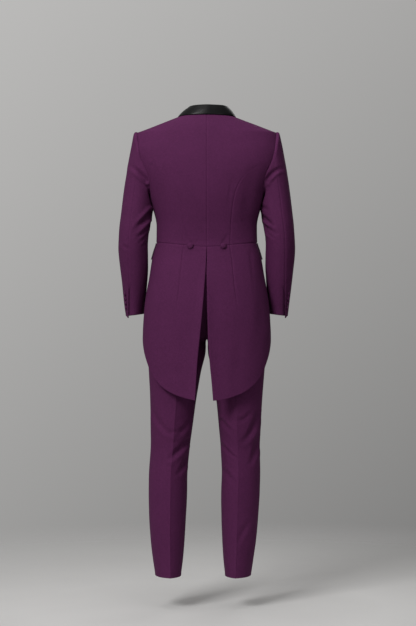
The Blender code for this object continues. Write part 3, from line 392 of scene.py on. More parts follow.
# Level sections of the left trouser half: a leg, or above the crotch one side of the hips
TROUSERS = Table(
    "height centre_x half_width back front",
    (-0.4250, 0.0000, 0.1638, 0.0970, 0.1000),
    (-0.4630, 0.0000, 0.1670, 0.1060, 0.1020),
    (-0.5000, 0.0040, 0.1690, 0.1150, 0.1030),
    (-0.5600, 0.0180, 0.1620, 0.1200, 0.1000),
    (-0.6100, 0.0380, 0.1460, 0.1220, 0.0955),
    (-0.6600, 0.0640, 0.1230, 0.1185, 0.0900),
    (-0.7000, 0.0880, 0.1000, 0.1120, 0.0850),
    (-0.7140, 0.0955, 0.0935, 0.1090, 0.0835),
    (-0.7600, 0.0985, 0.0895, 0.1040, 0.0800),
    (-0.8060, 0.1010, 0.0840, 0.1000, 0.0780),
    (-0.9060, 0.1055, 0.0730, 0.0920, 0.0730),
    (-1.0000, 0.1095, 0.0660, 0.0850, 0.0690),
    (-1.0560, 0.1120, 0.0622, 0.0800, 0.0690),
    (-1.1460, 0.1165, 0.0612, 0.0830, 0.0640),
    (-1.1970, 0.1160, 0.0614, 0.0840, 0.0620),
    (-1.2740, 0.1155, 0.0587, 0.0800, 0.0610),
    (-1.3540, 0.1145, 0.0538, 0.0740, 0.0630),
    (-1.4140, 0.1130, 0.0478, 0.0700, 0.0660),
    (-1.4660, 0.1120, 0.0408, 0.0680, 0.0680),
)

# Creases, on plans in millimetres. Each row has a start, a middle and an end (x, z), half of its
# width, its depths at those three places, and how much the cloth rises on one side of it.
SLEEVE_LEFT_CREASES = (
    (243, -157, 214, -181, 194, -203, 6.5, 0.6, 2.6, 2.2, 0.55),
    (220, -205, 206, -213, 190, -223, 4.5, 0.3, 1.2, 1.2, 0.3),
    (179, -304, 201, -330, 227, -357, 7.5, 4.2, 3.2, 0.6, 0.5),
    (179, -342, 198, -365, 220, -384, 6, 3.4, 2.2, 0.4, 0.5),
    (179, -365, 195, -384, 214, -400, 5.5, 2.8, 1.8, 0.3, 0.5),
    (185, -394, 195, -403, 207, -416, 5, 2.2, 1.4, 0.2, 0.4),
    (265, -414, 257, -419, 247, -424, 5, 1, 0.8, 0.2, 0.4),
    (223, -74, 236, -106, 243, -157, 10, 0.8, 0.9, 0.4, 0.3),
)
SLEEVE_RIGHT_CREASES = (
    (-241, -165, -218, -174, -193, -200, 6.5, 0.6, 2.4, 2.4, -0.55),
    (-185, -213, -196, -209, -212, -205, 4.5, 1.4, 1.2, 0.3, 0.3),
    (-173, -317, -193, -333, -212, -349, 6.5, 3.4, 2.4, 0.5, 0.5),
    (-177, -342, -197, -358, -221, -373, 6.5, 3.4, 2.4, 0.5, 0.5),
    (-180, -355, -196, -371, -215, -387, 5, 2.6, 1.8, 0.4, 0.4),
    (-173, -283, -186, -291, -199, -299, 5.5, 1.8, 1, 0.2, 0.3),
    (-196, -227, -218, -282, -237, -349, 15, 0.6, 1.2, 0.3, 0.2),
)
BACK_CREASES = (
    (175, -125, 174, -154, 173, -186, 6, 0.3, 1.3, 0.3, 0.3),
    (163, -189, 147, -266, 150, -355, 17, 0.8, 1.8, 0.5, 0.1),
    (-145, -176, -129, -275, -129, -368, 17, 1.2, 2.6, 0.8, 0.1),
    (-82, -195, -74, -234, -68, -275, 4.5, 0.2, 0.7, 0.2, 0.3),
    (52, -403, 63, -387, 79, -365, 5.5, 1, 0.8, 0.1, 0.4),
    (-50, -403, -61, -387, -77, -365, 5.5, 1, 0.8, 0.1, -0.4),
    (86, -14, 3, -10, -84, -14, 9, 0.3, 0.9, 0.3, 0.6),
    (124, -282, 111, -336, 115, -394, 15, 0.2, 0.7, 0.2, 0.1),
)
TAIL_CREASES = (
    (-138, -432, -145, -490, -151, -560, 5, 0.9, 0.9, 0.2, 0.4),
    (-161, -483, -177, -618, -164, -752, 17, 0.6, 2.6, 0.6, 0.1),
    (175, -624, 166, -698, 156, -771, 15, 0.3, 1.6, 0.3, 0.2),
    (-106, -682, -100, -778, -93, -880, 16, 0.2, 1.3, 0.4, 0.2),
    (67, -586, 63, -698, 73, -826, 16, 0.2, 1, 0.2, 0.2),
)
LEG_LEFT_CREASES = (
    (115, -1091, 89, -1066, 57, -1035, 8.5, 1.6, 3.6, 2.6, 0.45),
    (89, -1139, 73, -1114, 60, -1088, 7.5, 1.2, 2.8, 2, 0.45),
    (124, -1013, 105, -1008, 83, -1002, 6, 0.6, 1.3, 0.5, 0.4),
    (179, -918, 153, -979, 115, -1014, 8.5, 0.4, 2, 0.8, 0.4),
    (99, -1021, 76, -1002, 54, -973, 7, 0.5, 1.8, 1.2, 0.4),
    (166, -1130, 159, -1226, 156, -1354, 14, 0.2, 0.9, 0.3, 0.1),
)
LEG_RIGHT_CREASES = (
    (-45, -970, -61, -989, -77, -1005, 6.5, 1.6, 2, 0.6, -0.5),
    (-119, -1037, -145, -1002, -164, -950, 8.5, 1.2, 3.2, 1.6, 0.4),
    (-141, -1107, -154, -1072, -164, -1030, 8, 1, 2.8, 1.6, 0.4),
    (-45, -1046, -71, -1072, -97, -1094, 5, 1.6, 1.6, 0.6, -0.5),
    (-93, -970, -119, -966, -148, -938, 7, 0.6, 1.6, 0.4, -0.4),
    (-52, -1130, -71, -1149, -87, -1174, 7, 1.2, 1.2, 0.3, -0.4),
    (-93, -1379, -116, -1328, -141, -1290, 8, 0.3, 1.1, 0.4, 0.4),
)
SLEEVE_FRONT_CREASES = (
    (178, -300, 196, -318, 216, -326, 7, 3.4, 2.2, 0.4, 0.45),
    (180, -338, 200, -352, 224, -357, 7, 3.8, 2.6, 0.5, 0.45),
    (181, -372, 200, -380, 219, -379, 6, 3.0, 1.8, 0.3, 0.4),
    (184, -250, 202, -240, 218, -222, 8, 1.6, 1.2, 0.2, 0.3),
    (243, -150, 226, -170, 202, -190, 8, 0.3, 1.2, 2.0, 0.4),
    (-179, -308, -199, -323, -221, -331, 7, 3.2, 2.4, 0.5, 0.45),
    (-181, -346, -203, -357, -222, -366, 7, 3.6, 2.4, 0.4, -0.45),
    (-183, -380, -200, -385, -216, -391, 5.5, 2.6, 1.4, 0.3, 0.4),
    (-240, -158, -222, -176, -200, -188, 8, 0.3, 1.3, 2.2, 0.4),
)
FRONT_CREASES = (
    (142, -236, 118, -262, 96, -300, 13, 1.4, 1.8, 0.3, 0.3),
    (-140, -240, -119, -270, -99, -302, 13, 1.2, 1.6, 0.3, 0.3),
    (118, -340, 90, -352, 52, -366, 9, 0.4, 1.4, 0.5, 0.3),
    (-120, -344, -84, -352, -44, -368, 9, 0.4, 1.4, 0.5, 0.3),
)
LEG_FRONT_CREASES = (
    (60, -730, 90, -752, 132, -758, 12, 2.2, 2.0, 0.3, 0.35),
    (44, -760, 74, -790, 108, -800, 11, 2.2, 1.6, 0.3, 0.35),
    (-60, -734, -94, -752, -130, -752, 12, 2.2, 1.8, 0.3, 0.35),
    (-46, -768, -72, -792, -112, -806, 11, 1.8, 1.6, 0.3, 0.35),
    (66, -1120, 92, -1132, 128, -1126, 10, 1.8, 1.4, 0.3, 0.35),
    (-68, -1112, -98, -1130, -130, -1120, 10, 1.6, 1.5, 0.3, 0.35),
    (160, -1330, 134, -1352, 108, -1360, 9, 1.2, 1.0, 0.2, 0.3),
    (-158, -1336, -132, -1356, -104, -1362, 9, 1.2, 1.0, 0.2, 0.3),
)


def unit(vectors):
    return vectors / np.linalg.norm(vectors, axis=-1, keepdims=True)


def mirrored(points, side):
    return points * np.array([side, 1, 1])


def surface_normal(point, turn, height, half_turn, half_height):
    """The outward direction of a surface, from its points a little to each side."""
    around = point(turn + half_turn, height) - point(turn - half_turn, height)
    down = point(turn, height - half_height) - point(turn, height + half_height)
    return unit(np.cross(down, around))


def coat_point(angle, height):
    """A point of the coat's outer surface. The angle is in degrees: 0 at the wearer's left
    side, 90 at the centre back and -90 at the centre front."""
    angle, height = np.broadcast_arrays(np.radians(angle), height)
    across, along = np.cos(angle), np.sin(angle)
    power = COAT.at("squareness", height)
    reach = np.where(along >= 0, COAT.at("back", height), COAT.at("front", height))
    share = np.abs(across / COAT.at("half_width", height)) ** power + np.abs(along / reach) ** power
    radius = share ** (-1 / power)
    return np.stack([radius * across, radius * along, height], axis=-1)


def coat_normal(angle, height):
    return surface_normal(coat_point, angle, height, 0.5, 0.0008)


def above_coat(angle, height, distance):
    """A point that stands this far off the coat."""
    return coat_point(angle, height) + coat_normal(angle, height) * distance


def coat_angle(x, height, back=True):
    """The angle at which the coat's surface stands this far from the middle."""
    power = COAT.at("squareness", height)
    reach = COAT.at("back", height) if back else -COAT.at("front", height)
    share = np.clip(np.abs(x) / COAT.at("half_width", height), 0, 1)
    return np.degrees(np.arctan2(reach * (1 - share**power) ** (1 / power), x))


def waist_height(angle):
    """The waist seam, which dips towards the centre back."""
    return WAIST - WAIST_DIP * np.clip(np.sin(np.radians(angle)), 0, 1) ** 2


def level_height(level, angle):
    """The height of a row of the upper coat: rows near the waist share its dip."""
    share = smoothstep((UNDERARM - level) / (UNDERARM - WAIST))
    return level + (waist_height(angle) - WAIST) * share


def roll_x(height):
    """How far the roll line stands from the centre front: it is straight down to the break."""
    share = np.clip((NECK - height) / (NECK - BREAK), 0, 1)
    return ROLL_TOP_X + (-FRONT_LAP - ROLL_TOP_X) * share


def lap_lift(points, side):
    """The left front rises near its edge, because it lies over the right one."""
    if side == RIGHT:
        return np.zeros(points.shape[:-1])
    near_edge = smoothstep((LAP_START_X - points[..., 0]) / LAP_WIDTH)
    below = smoothstep((LAP_TOP - points[..., 2]) / LAP_RUN)
    front = points[..., 1] < 0
    return LAP_LIFT * near_edge * below * front


def front_edge_angle(level):
    return coat_angle(roll_x(level), level, back=False)


def tail_seam_angle(drop):
    height = WAIST - WAIST_DIP / 2 + (TAIL_HEM.at("height", 55.0) - WAIST) * drop
    return float(coat_angle(TAIL_SEAM.at("x", drop), height))


def sleeve_section(station, turn):
    """A point of the plain sleeve tube: turn is 0 on its outer line and 90 on its back."""
    turn = np.radians(turn)
    outer, inner = (
        np.stack([SLEEVE.at(f"{line}_x", station), 0 * station, SLEEVE.at(f"{line}_z", station)], axis=-1)
        for line in ("outer", "inner")
    )
    point = (outer + inner) / 2 + (outer - inner) / 2 * np.cos(turn)[..., None]
    point[..., 1] += SLEEVE.at("middle_y", station) + SLEEVE.at("half_depth", station) * np.sin(turn)
    return point


def sleeve_normal(station, turn):
    around = sleeve_point(station, turn + 1.0) - sleeve_point(station, turn - 1.0)
    below, above = (sleeve_point(np.clip(station + step, 0, 1), turn) for step in (0.004, -0.004))
    return unit(np.cross(below - above, around))


def along_row(row, share):
    """A point at a share of the way through a row's points, on the straight lines between them."""
    where = np.clip(share, 0, 1) * (len(row) - 1)
    first = np.minimum(np.floor(where).astype(int), len(row) - 2)
    rest = (where - first)[..., None]
    return row[first] * (1 - rest) + row[first + 1] * rest


def pressed_share(height):
    """How strongly the trousers' creases are pressed: not at the hips, and fully at the knee."""
    return smoothstep((PRESSED_FROM - height) / PRESSED_RUN)


def trouser_point(turn, height, side):
    """A point of the trousers' outer surface, in the left half's sense: turn is 0 on the
    outside of the leg, 90 on its back and -90 on its front."""
    turn, height = np.broadcast_arrays(np.asarray(turn, float), np.asarray(height, float))
    radians = np.radians(turn)
    back, front = TROUSERS.at("back", height), TROUSERS.at("front", height)
    across = TROUSERS.at("half_width", height) * np.cos(radians)
    along = (back + front) / 2 * np.sin(radians)
    ridge = np.clip(1 - np.abs(np.abs(turn) - 90) / CREASE_HALF_ANGLE, 0, 1) ** 1.5
    pressed = pressed_share(height)
    along += np.sign(radians) * ridge * CREASE_HEIGHT * pressed
    across *= 1 - 0.05 * pressed * np.clip(np.abs(np.sin(radians)), 0, 1) ** 2
    yaw = np.radians(TOE_OUT) * smoothstep((TOE_OUT_FROM - height) / TOE_OUT_RUN)
    lean = LEG_LEAN[side] * smoothstep((CROTCH - height) / (CROTCH - TROUSER_HEM))
    centre = TROUSERS.at("centre_x", height) + lean
    x = centre + across * np.cos(yaw) - along * np.sin(yaw)
    y = (back - front) / 2 + along * np.cos(yaw) + across * np.sin(yaw)
    return np.stack([x, y, height], axis=-1)


def trouser_normal(turn, height, side):
    return surface_normal(lambda t, h: trouser_point(t, h, side), turn, height, 1.0, 0.002)


def smooth_noise(points, size, seed):
    """Fixed, soft unevenness between -1 and 1 at points in space, with lumps of this size. The
    large whole numbers only mix the place and the seed into a value for each corner of a cell."""
    place = points / size + seed * 17.31
    cell = np.floor(place).astype(np.int64)
    share = smoothstep(place - cell)
    total = np.zeros(points.shape[:-1])
    for corner in np.ndindex(2, 2, 2):
        x, y, z = np.moveaxis(cell + np.array(corner), -1, 0)
        mixed = (x * 73856093) ^ (y * 19349663) ^ (z * 83492791) ^ (seed * 2654435)
        mixed = ((mixed ^ (mixed >> 13)) * 1274126177) & 0xFFFFFF
        weight = np.prod(np.where(corner, share, 1 - share), axis=-1)
        total += weight * (mixed / 0x7FFFFF - 1)
    return total


def arc_lengths(points, axis):
    """Distances along the rows (axis 1) or columns (axis 0) of a grid of points."""
    steps = np.linalg.norm(np.diff(points, axis=axis), axis=-1)
    lengths = np.cumsum(steps, axis=axis)
    return np.concatenate([np.zeros_like(np.take(lengths, [0], axis=axis)), lengths], axis=axis)


def strip_shares(widths, cell):
    """Shares across strips of these widths: even cells, and closer columns beside both edges."""
    widths = np.maximum(np.asarray(widths, float), 0.0005)
    count = int(math.ceil(widths.max() / cell)) + 1
    squeeze = np.minimum(1, widths / 0.030)[:, None] / widths[:, None]
    near = np.array(EDGE_STEPS)[None] * squeeze
    middle = near[:, -1:] + (1 - 2 * near[:, -1:]) * np.linspace(0, 1, count + 1)[None, 1:-1]
    return np.concatenate([near, middle, 1 - near[:, ::-1]], axis=1)


def surface_widths(surface, start, end, rows):
    """Lengths of a surface's rows between two turns, measured over eight steps."""
    turns = start[:, None] + (end - start)[:, None] * np.linspace(0, 1, 9)
    return arc_lengths(surface(turns, rows[:, None]), 1)[:, -1]


def spread(surface, start, end, rows, cell):
    """The turns of a grid's columns: on each row they are spread between two turns."""
    shares = strip_shares(surface_widths(surface, start, end, rows), cell)
    return start[:, None] + (end - start)[:, None] * shares


def run_rows(start, end, length, cell):
    """Rows from start to end, closer beside both ends."""
    return start + (end - start) * strip_shares([length], cell)[0]


def armhole_turns(turn):
    """Height and coat angle of the armhole seam. Its turn is 0 at the shoulder tip, 90 at the
    back and 270 at the front."""
    turn = np.radians(turn)
    height = (SHOULDER_TIP + UNDERARM) / 2 + (SHOULDER_TIP - UNDERARM) / 2 * np.cos(turn)
    cut_in = np.sin(turn)
    back = cut_in >= 0
    low = np.maximum(0.1 - np.cos(turn), 0)
    share = np.where(back, ARMHOLE_CUT_BACK + ARMHOLE_CUT_LOW * low, ARMHOLE_CUT_FRONT)
    x = COAT.at("half_width", height) * (1 - share * cut_in**2)
    angle = np.where(back, coat_angle(x, height), coat_angle(x, height, back=False))
    return height, np.where(np.abs(cut_in) < 1e-6, 0.0, angle)


def armhole_point(turn):
    height, angle = armhole_turns(turn)
    return coat_point(angle, height)


def armhole_angle_at(height, back):
    """The coat angle of the armhole seam at a height between the shoulder tip and underarm."""
    middle, half = (SHOULDER_TIP + UNDERARM) / 2, (SHOULDER_TIP - UNDERARM) / 2
    turn = np.degrees(np.arccos(np.clip((height - middle) / half, -1, 1)))
    return armhole_turns(turn if back else 360 - turn)[1]


def side_back_angles(level):
    """The seam between the back and the side body: it leaves the armhole almost level."""
    top, start = (float(v) for v in armhole_turns(SEAM_START_TURN))
    low = float(armhole_turns(SEAM_FULL_TURN)[0])
    height = np.where(level > WAIST, level, WAIST - WAIST_DIP / 2)
    plain = coat_angle(SIDE_BACK_SEAM.at("x", height), height)
    at_low = float(coat_angle(SIDE_BACK_SEAM.at("x", low), low))
    share = np.clip((level - low) / (top - low), 0, 1) ** 1.3
    return np.where(level > low, at_low + (start - at_low) * share, plain)


def tail_heights(drops, angles):
    top = waist_height(angles)
    return top + (TAIL_HEM.at("height", angles) - top) * drops


def sleeve_point(station, turn):
    """A point of the sleeve's outer surface: the tube, drawn to the armhole at its top."""
    station, turn = np.broadcast_arrays(np.asarray(station, float), np.asarray(turn, float))
    at_top = sleeve_section(np.zeros_like(turn), turn)
    drawn = armhole_point(turn % 360) - at_top
    fade = np.clip(1 - station / ARMHOLE_BLEND, 0, 1) ** 2
    return sleeve_section(station, turn) + drawn * fade[..., None]


def vent_opening(station):
    """0 where a sleeve's hind seam is sewn, and 1 where it is the cuff's open vent."""
    return smoothstep((station - CUFF_VENT_START + CUFF_VENT_LEAD) / CUFF_VENT_RUN)


def trouser_turn_limit(height):
    """The turn at which a half's section meets the inside leg or the centre seam."""
    centre, half = TROUSERS.at("centre_x", height), TROUSERS.at("half_width", height)
    limit = np.degrees(np.arccos(np.clip(-centre / half, -1, 1)))
    return np.where(height <= CROTCH, 180.0, limit)


def plan_from_behind(points):
    """Where points lie on the plan that creases are drawn on, in millimetres from the origin:
    the suit as it looks from 5.6 m behind."""
    eye = np.array(CAMERA_PLACE)
    nearer = eye[1] / (eye[1] - points[..., 1])
    return tuple(1000 * (eye[k] + (points[..., k] - eye[k]) * nearer) for k in (0, 2))


def plan_from_front(points):
    """The plan of the hidden front, in millimetres, with the wearer's left at +x."""
    return 1000 * points[..., 0], 1000 * points[..., 2]


def nearest_on_curve(start, middle, end, px, pz, steps=14):
    """For places on a plan: how far they are from a curve through three points, how far along
    it their nearest point is, and how far to its side they lie."""
    t = np.linspace(0, 1, steps + 1)[:, None]
    bend = 2 * middle - (start + end) / 2
    line = start * (1 - t) ** 2 + 2 * bend * t * (1 - t) + end * t**2
    best, along, beside = (np.full(px.shape, v) for v in (1e9, 0.0, 0.0))
    for i in range(steps):
        run = line[i + 1] - line[i]
        size = float(run.dot(run))
        ax, az = px - line[i, 0], pz - line[i, 1]
        share = np.clip((ax * run[0] + az * run[1]) / size, 0, 1)
        apart = np.hypot(ax - share * run[0], az - share * run[1])
        closer = apart < best
        best = np.where(closer, apart, best)
        along = np.where(closer, (i + share) / steps, along)
        beside = np.where(closer, (run[0] * az - run[1] * ax) / math.sqrt(size), beside)
    return best, along, beside


def crease_depths(creases, x, z):
    """How far creases pull the cloth in, in metres, at places on their plan. Beside each trough
    the cloth rises a little, most on the side that ridge names."""
    depth = np.zeros(x.shape)
    for row in creases:
        start, middle, end = (np.array(row[k : k + 2], float) for k in (0, 2, 4))
        width, from_depth, mid_depth, to_depth, ridge = row[6:]
        reach = 3.4 * width
        low = np.minimum(np.minimum(start, middle), end) - reach
        high = np.maximum(np.maximum(start, middle), end) + reach
        near = (x > low[0]) & (x < high[0]) & (z > low[1]) & (z < high[1])
        if not near.any():
            continue
        best, along, beside = nearest_on_curve(start, middle, end, x[near], z[near])
        t = best / width
        trough = hump(t, 1.0) - 0.16 * hump(t, 0.8, 1.9)
        side = np.sign(beside) * np.sign(ridge)
        trough -= abs(ridge) * hump(t, 0.8, 1.6) * (side > 0)
        most = np.where(
            along < 0.5,
            from_depth + (mid_depth - from_depth) * smoothstep(along * 2),
            mid_depth + (to_depth - mid_depth) * smoothstep(along * 2 - 1),
        )
        depth[near] += trough * most
    return depth / 1000


class Cloth:
    """A cut piece of cloth on its surface: a grid of points with normals, the distance of each
    from the four edges, and how far seams and creases lift it."""

    def __init__(self, points, normals, side=LEFT):
        self.points, self.normals = mirrored(points, side), mirrored(normals, side)
        self.across, self.down = arc_lengths(points, 1), arc_lengths(points, 0)
        self.apart = {
            "left": self.across,
            "right": self.across[:, -1:] - self.across,
            "top": self.down,
            "bottom": self.down[-1:] - self.down,
        }
        self.lift, self.skin, self.pinch = (np.zeros(points.shape[:2]) for _ in range(3))

    def seam(self, edge, depth, strength=1.0):
        """Sinks the outside to a sewn edge, with the pressed seam allowance just beside it."""
        apart = self.apart[edge]
        allowance = rise(apart, 0, 0.003) - rise(apart, ALLOWANCE, 0.004)
        self.skin += (-depth * hump(apart, GROOVE_WIDTH) + ALLOWANCE_LIFT * allowance) * strength

    def turned_edge(self, edge, wall, strength=1.0):
        """Rounds a free edge, where the cloth is turned in and pressed."""
        apart, radius = self.apart[edge], wall * 0.46
        inside = np.clip(1 - apart / radius, 0, 1)
        self.pinch += radius * (1 - np.sqrt(1 - inside**2)) * strength
        self.skin += HEM_LIFT * (1 - rise(apart, ALLOWANCE, 0.003)) * strength

    def crease(self, creases, plan, amount=1.0):
        """Presses creases in where the cloth faces the side that their plan shows."""
        facing = self.normals[..., 1] * (1 if plan is plan_from_behind else -1)
        self.lift -= crease_depths(creases, *plan(self.points)) * rise(facing, -0.05, 0.35) * amount

    def unevenness(self, amount, seed):
        """Soft waviness, so that no face of the cloth is perfectly even."""
        near_edge = np.minimum.reduce(list(self.apart.values()))
        rest = 0.35 + 0.65 * smoothstep(near_edge / 0.02)
        wave = smooth_noise(self.points, 0.085, seed) + 0.45 * smooth_noise(self.points, 0.034, seed + 5)
        self.lift += amount * wave * rest

    def walls(self, wall):
        outer = self.points + self.normals * (self.lift + self.skin - self.pinch)[..., None]
        inner = self.points + self.normals * (self.lift - wall + self.pinch)[..., None]
        return outer, inner


def finish_mesh(name, vertices, faces, finishes, finish_index=None, uv=None):
    """Makes an object of points and faces, smooth all over, with its maps and materials."""
    mesh = bpy.data.meshes.new(name)
    mesh.from_pydata(vertices, [], faces)
    for finish in finishes:
        mesh.materials.append(finish)
    if finish_index is not None:
        mesh.polygons.foreach_set("material_index", finish_index)
    if uv is not None:
        layer = mesh.uv_layers.new(name="cloth")
        corner = np.empty(len(mesh.loops), dtype=np.int32)
        mesh.loops.foreach_get("vertex_index", corner)
        layer.data.foreach_set("uv", np.asarray(uv, np.float32)[corner].ravel())
    mesh.validate()
    mesh.shade_smooth()
    piece = bpy.data.objects.new(name, mesh)
    bpy.context.scene.collection.objects.link(piece)
    return piece


def grid_faces(shape):
    """The indices of a grid's points, and the faces between them."""
    index = np.arange(shape[0] * shape[1]).reshape(shape[:2])
    quads = np.stack([index[:-1, :-1], index[1:, :-1], index[1:, 1:], index[:-1, 1:]], -1)
    return index, quads.reshape(-1, 4)


def disc_faces(rings, around):
    """Faces of a disc whose points are its middle and then this many rings."""
    faces = [(0, 1 + j, 1 + (j + 1) % around) for j in range(around)]
    for low in range(1, 1 + (rings - 1) * around, around):
        for j in range(around):
            k = (j + 1) % around
            faces.append((low + j, low + around + j, low + around + k, low + k))
    return faces


def closed_wall(name, cloth, outer, inner, finishes):
    """A closed wall of cloth between two grids, with its rim. The first finish is its outside
    and rim, and the second is its inside."""
    index, quads = grid_faces(outer.shape)
    back = index.size
    loop = np.concatenate([index[:-1, 0], index[-1, :-1], index[:0:-1, -1], index[0, :0:-1]])
    ahead = np.roll(loop, -1)
    rim = np.stack([ahead, loop, loop + back, ahead + back], -1)
    faces = np.concatenate([quads, rim, quads[:, ::-1] + back])
    i, j = outer.shape[0] // 2, outer.shape[1] // 2
    turn = np.cross(outer[i + 1, j] - outer[i, j], outer[i, j + 1] - outer[i, j])
    if turn.dot(cloth.normals[i, j]) < 0:
        faces = faces[:, ::-1]
    finish_index = np.zeros(len(faces), dtype=np.int32)
    finish_index[len(quads) + len(rim) :] = len(finishes) - 1
    uv = np.stack([cloth.across, cloth.down], -1).reshape(-1, 2)
    vertices = np.concatenate([outer.reshape(-1, 3), inner.reshape(-1, 3)])
    return finish_mesh(name, vertices, faces, finishes, finish_index, np.concatenate([uv, uv]))


# The pieces of cloth made so far, by name: each one's cloth, and the grid of its outside
SHELLS = {}


def make_cloth(node, cloth, wall, finishes, slot="wool"):
    name = f"{slot}_{node}"
    outer, inner = cloth.walls(wall)
    piece = closed_wall(name, cloth, outer, inner, finishes)
    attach(piece, "root")
    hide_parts(node)
    SHELLS[name] = (cloth, outer)
    return piece


def body_cloth(side, start, end, measured, height_at, cell):
    """A piece of the coat's body. Its rows run between two angles, are measured at plain
    heights, and then follow the waist seam or the hem."""
    angles = spread(coat_point, start, end, measured, cell)
    heights = height_at(angles)
    points, normals = coat_point(angles, heights), coat_normal(angles, heights)
    return Cloth(points + normals * lap_lift(points, side)[..., None], normals, side)


def coat_cloth(side, levels, start, end, cell):
    """A piece of the upper coat, with a row at each level."""
    return body_cloth(side, start, end, levels, lambda angles: level_height(levels[:, None], angles), cell)


def skirt_cloth(side, drops, start, end, cell):
    """A tail or skirt, with a row at each share of the drop from waist seam to hem."""
    middle = tail_heights(drops, (start + end) / 2)
    return body_cloth(side, start, end, middle, lambda angles: tail_heights(drops[:, None], angles), cell)


def coat_levels(cell, *extra):
    """Rows of the upper coat, with those at which its edges turn."""
    rows = run_rows(NECK, WAIST, NECK - WAIST, cell)
    levels = np.array(sorted({*rows, *extra, SHOULDER_TIP, UNDERARM}, reverse=True))
    return levels[np.concatenate([[True], np.diff(levels) < -0.00025])]


def side_seam_strength(levels, side):
    """How clearly the side-back seam shows: it fades towards the armhole, and on the left."""
    full = SIDE_SEAM_SHOWS[side]
    below_armhole = smoothstep((-0.185 - levels) / 0.050)
    above_seam = rise(levels, -0.152, 0.004)
    return (full * (0.18 + 0.82 * below_armhole) + (0.55 - full * 0.18) * above_seam)[:, None]


def under_arm_fullness(cloth):
    """The side of the coat fills out a little just below the arm."""
    height = hump(cloth.points[..., 2], 0.036, UNDER_ARM_HEIGHT)
    return UNDER_ARM_RISE * height * hump(cloth.points[..., 1], 0.060)


def back_panels(sizes, finishes):
    """The two back pieces and the two side bodies."""
    seam_top, seam_low = (float(armhole_turns(turn)[0]) for turn in (SEAM_START_TURN, SEAM_FULL_TURN))
    levels = coat_levels(sizes.cell, *np.linspace(seam_top, seam_low, 14))
    at_side = np.where(levels >= seam_top, armhole_angle_at(levels, True), side_back_angles(levels))
    edge = np.where(levels >= SHOULDER_TIP, 0.0, at_side)
    low = np.concatenate([[seam_top - 0.0004], levels[levels < seam_top - 0.0009]])
    outside = np.where(low > UNDERARM, armhole_angle_at(low, True), 0.0)
    for side, word in SIDES:
        back = coat_cloth(side, levels, np.full(len(levels), 90.0), edge, sizes.cell)
        back.seam("left", CENTRE_SEAM_DEPTH)
        back.seam("right", sizes.seam_depth, side_seam_strength(levels, side))
        side_back = coat_cloth(side, low, side_back_angles(low), outside, sizes.cell)
        side_back.seam("left", sizes.seam_depth, side_seam_strength(low, side))
        side_back.seam("right", sizes.seam_depth, 0.5)
        side_back.lift += under_arm_fullness(side_back)
        for cloth, node, rests_on in ((back, "back", "collar"), (side_back, "side_back", f"back_{word}")):
            cloth.seam("bottom", sizes.seam_depth)
            cloth.crease(BACK_CREASES, plan_from_behind)
            cloth.unevenness(sizes.unevenness, 3)
            make_cloth(f"{node}_{word}", cloth, sizes.coat_wall, finishes)


def front_panels(sizes, finishes, satin):
    """The two fronts, and the satin lapels that lie on them and turn round their edges."""
    levels = coat_levels(sizes.cell, GORGE, BREAK)
    on_armhole = (levels < SHOULDER_TIP) & (levels > UNDERARM)
    start = np.where(on_armhole, armhole_angle_at(levels, False), 0.0)
    for side, word in SIDES:
        cloth = coat_cloth(side, levels, start, front_edge_angle(levels), sizes.cell)
        cloth.seam("left", sizes.seam_depth)
        cloth.seam("bottom", sizes.seam_depth)
        cloth.turned_edge("right", sizes.coat_wall)
        cloth.lift += under_arm_fullness(cloth)
        cloth.crease(FRONT_CREASES, plan_from_front)
        cloth.unevenness(sizes.unevenness, 11)
        make_cloth(f"front_{word}", cloth, sizes.coat_wall, finishes)
        lapel(word, side, cloth, levels, sizes, satin)


def lapel(word, side, front, levels, sizes, satin):
    """Half of the shawl. Its satin runs from the outer edge to the roll line, turns round the
    front's edge, and ends a little way inside."""
    use = (levels <= GORGE + 1e-9) & (levels >= BREAK - 1e-9)
    gap, wall = sizes.lapel_gap, sizes.satin_wall
    count = int(LAPEL_WIDEST / sizes.cell)
    shares = np.concatenate([np.array([0, 0.004, 0.010, 0.020]), np.linspace(0.035, 1, count)])
    turns = np.radians(np.linspace(0, 180, 9)[1:])
    points, facing = [], []
    for row, out, lift, level in zip(front.points[use], front.normals[use], front.lift[use], levels[use]):
        xs = row[:, 0] * side
        start = np.interp(-LAPEL_EDGE.at("x", level), -xs, np.linspace(0, 1, len(xs)))
        across = start + (1 - start) * shares
        place, normal = along_row(row, across), unit(along_row(out, across))
        raised = along_row(lift[:, None], across)[:, 0]
        fullness = smoothstep((level - BREAK - 0.070) / 0.10)
        roll = LAPEL_ROLL * fullness * shares**2
        belly = LAPEL_BELLY * np.sin(np.pi * shares) * fullness
        place = place + normal * (gap + raised + roll * 0.6 + belly)[:, None]
        last, up = place[-1], normal[-1]
        past = unit(place[-1] - place[-2])
        past = unit(past - up * past.dot(up))
        radius = (sizes.coat_wall + 2 * gap + roll[-1] * 0.6) / 2
        turned_normals = [up * math.cos(a) + past * math.sin(a) for a in turns]
        turned = [last - up * radius + radius * direction for direction in turned_normals]
        inside = [turned[-1] - past * distance for distance in LAPEL_INSIDE]
        points.append(np.concatenate([place, turned, inside]))
        facing.append(np.concatenate([normal, turned_normals, [-up] * len(inside)]))
    cloth = Cloth(np.array(points), np.array(facing))
    cloth.lift += wall
    cloth.turned_edge("left", wall)
    cloth.turned_edge("bottom", wall)
    cloth.seam("top", SATIN_SEAM_DEPTH)
    make_cloth(f"lapel_{word}", cloth, wall, [satin], "satin")


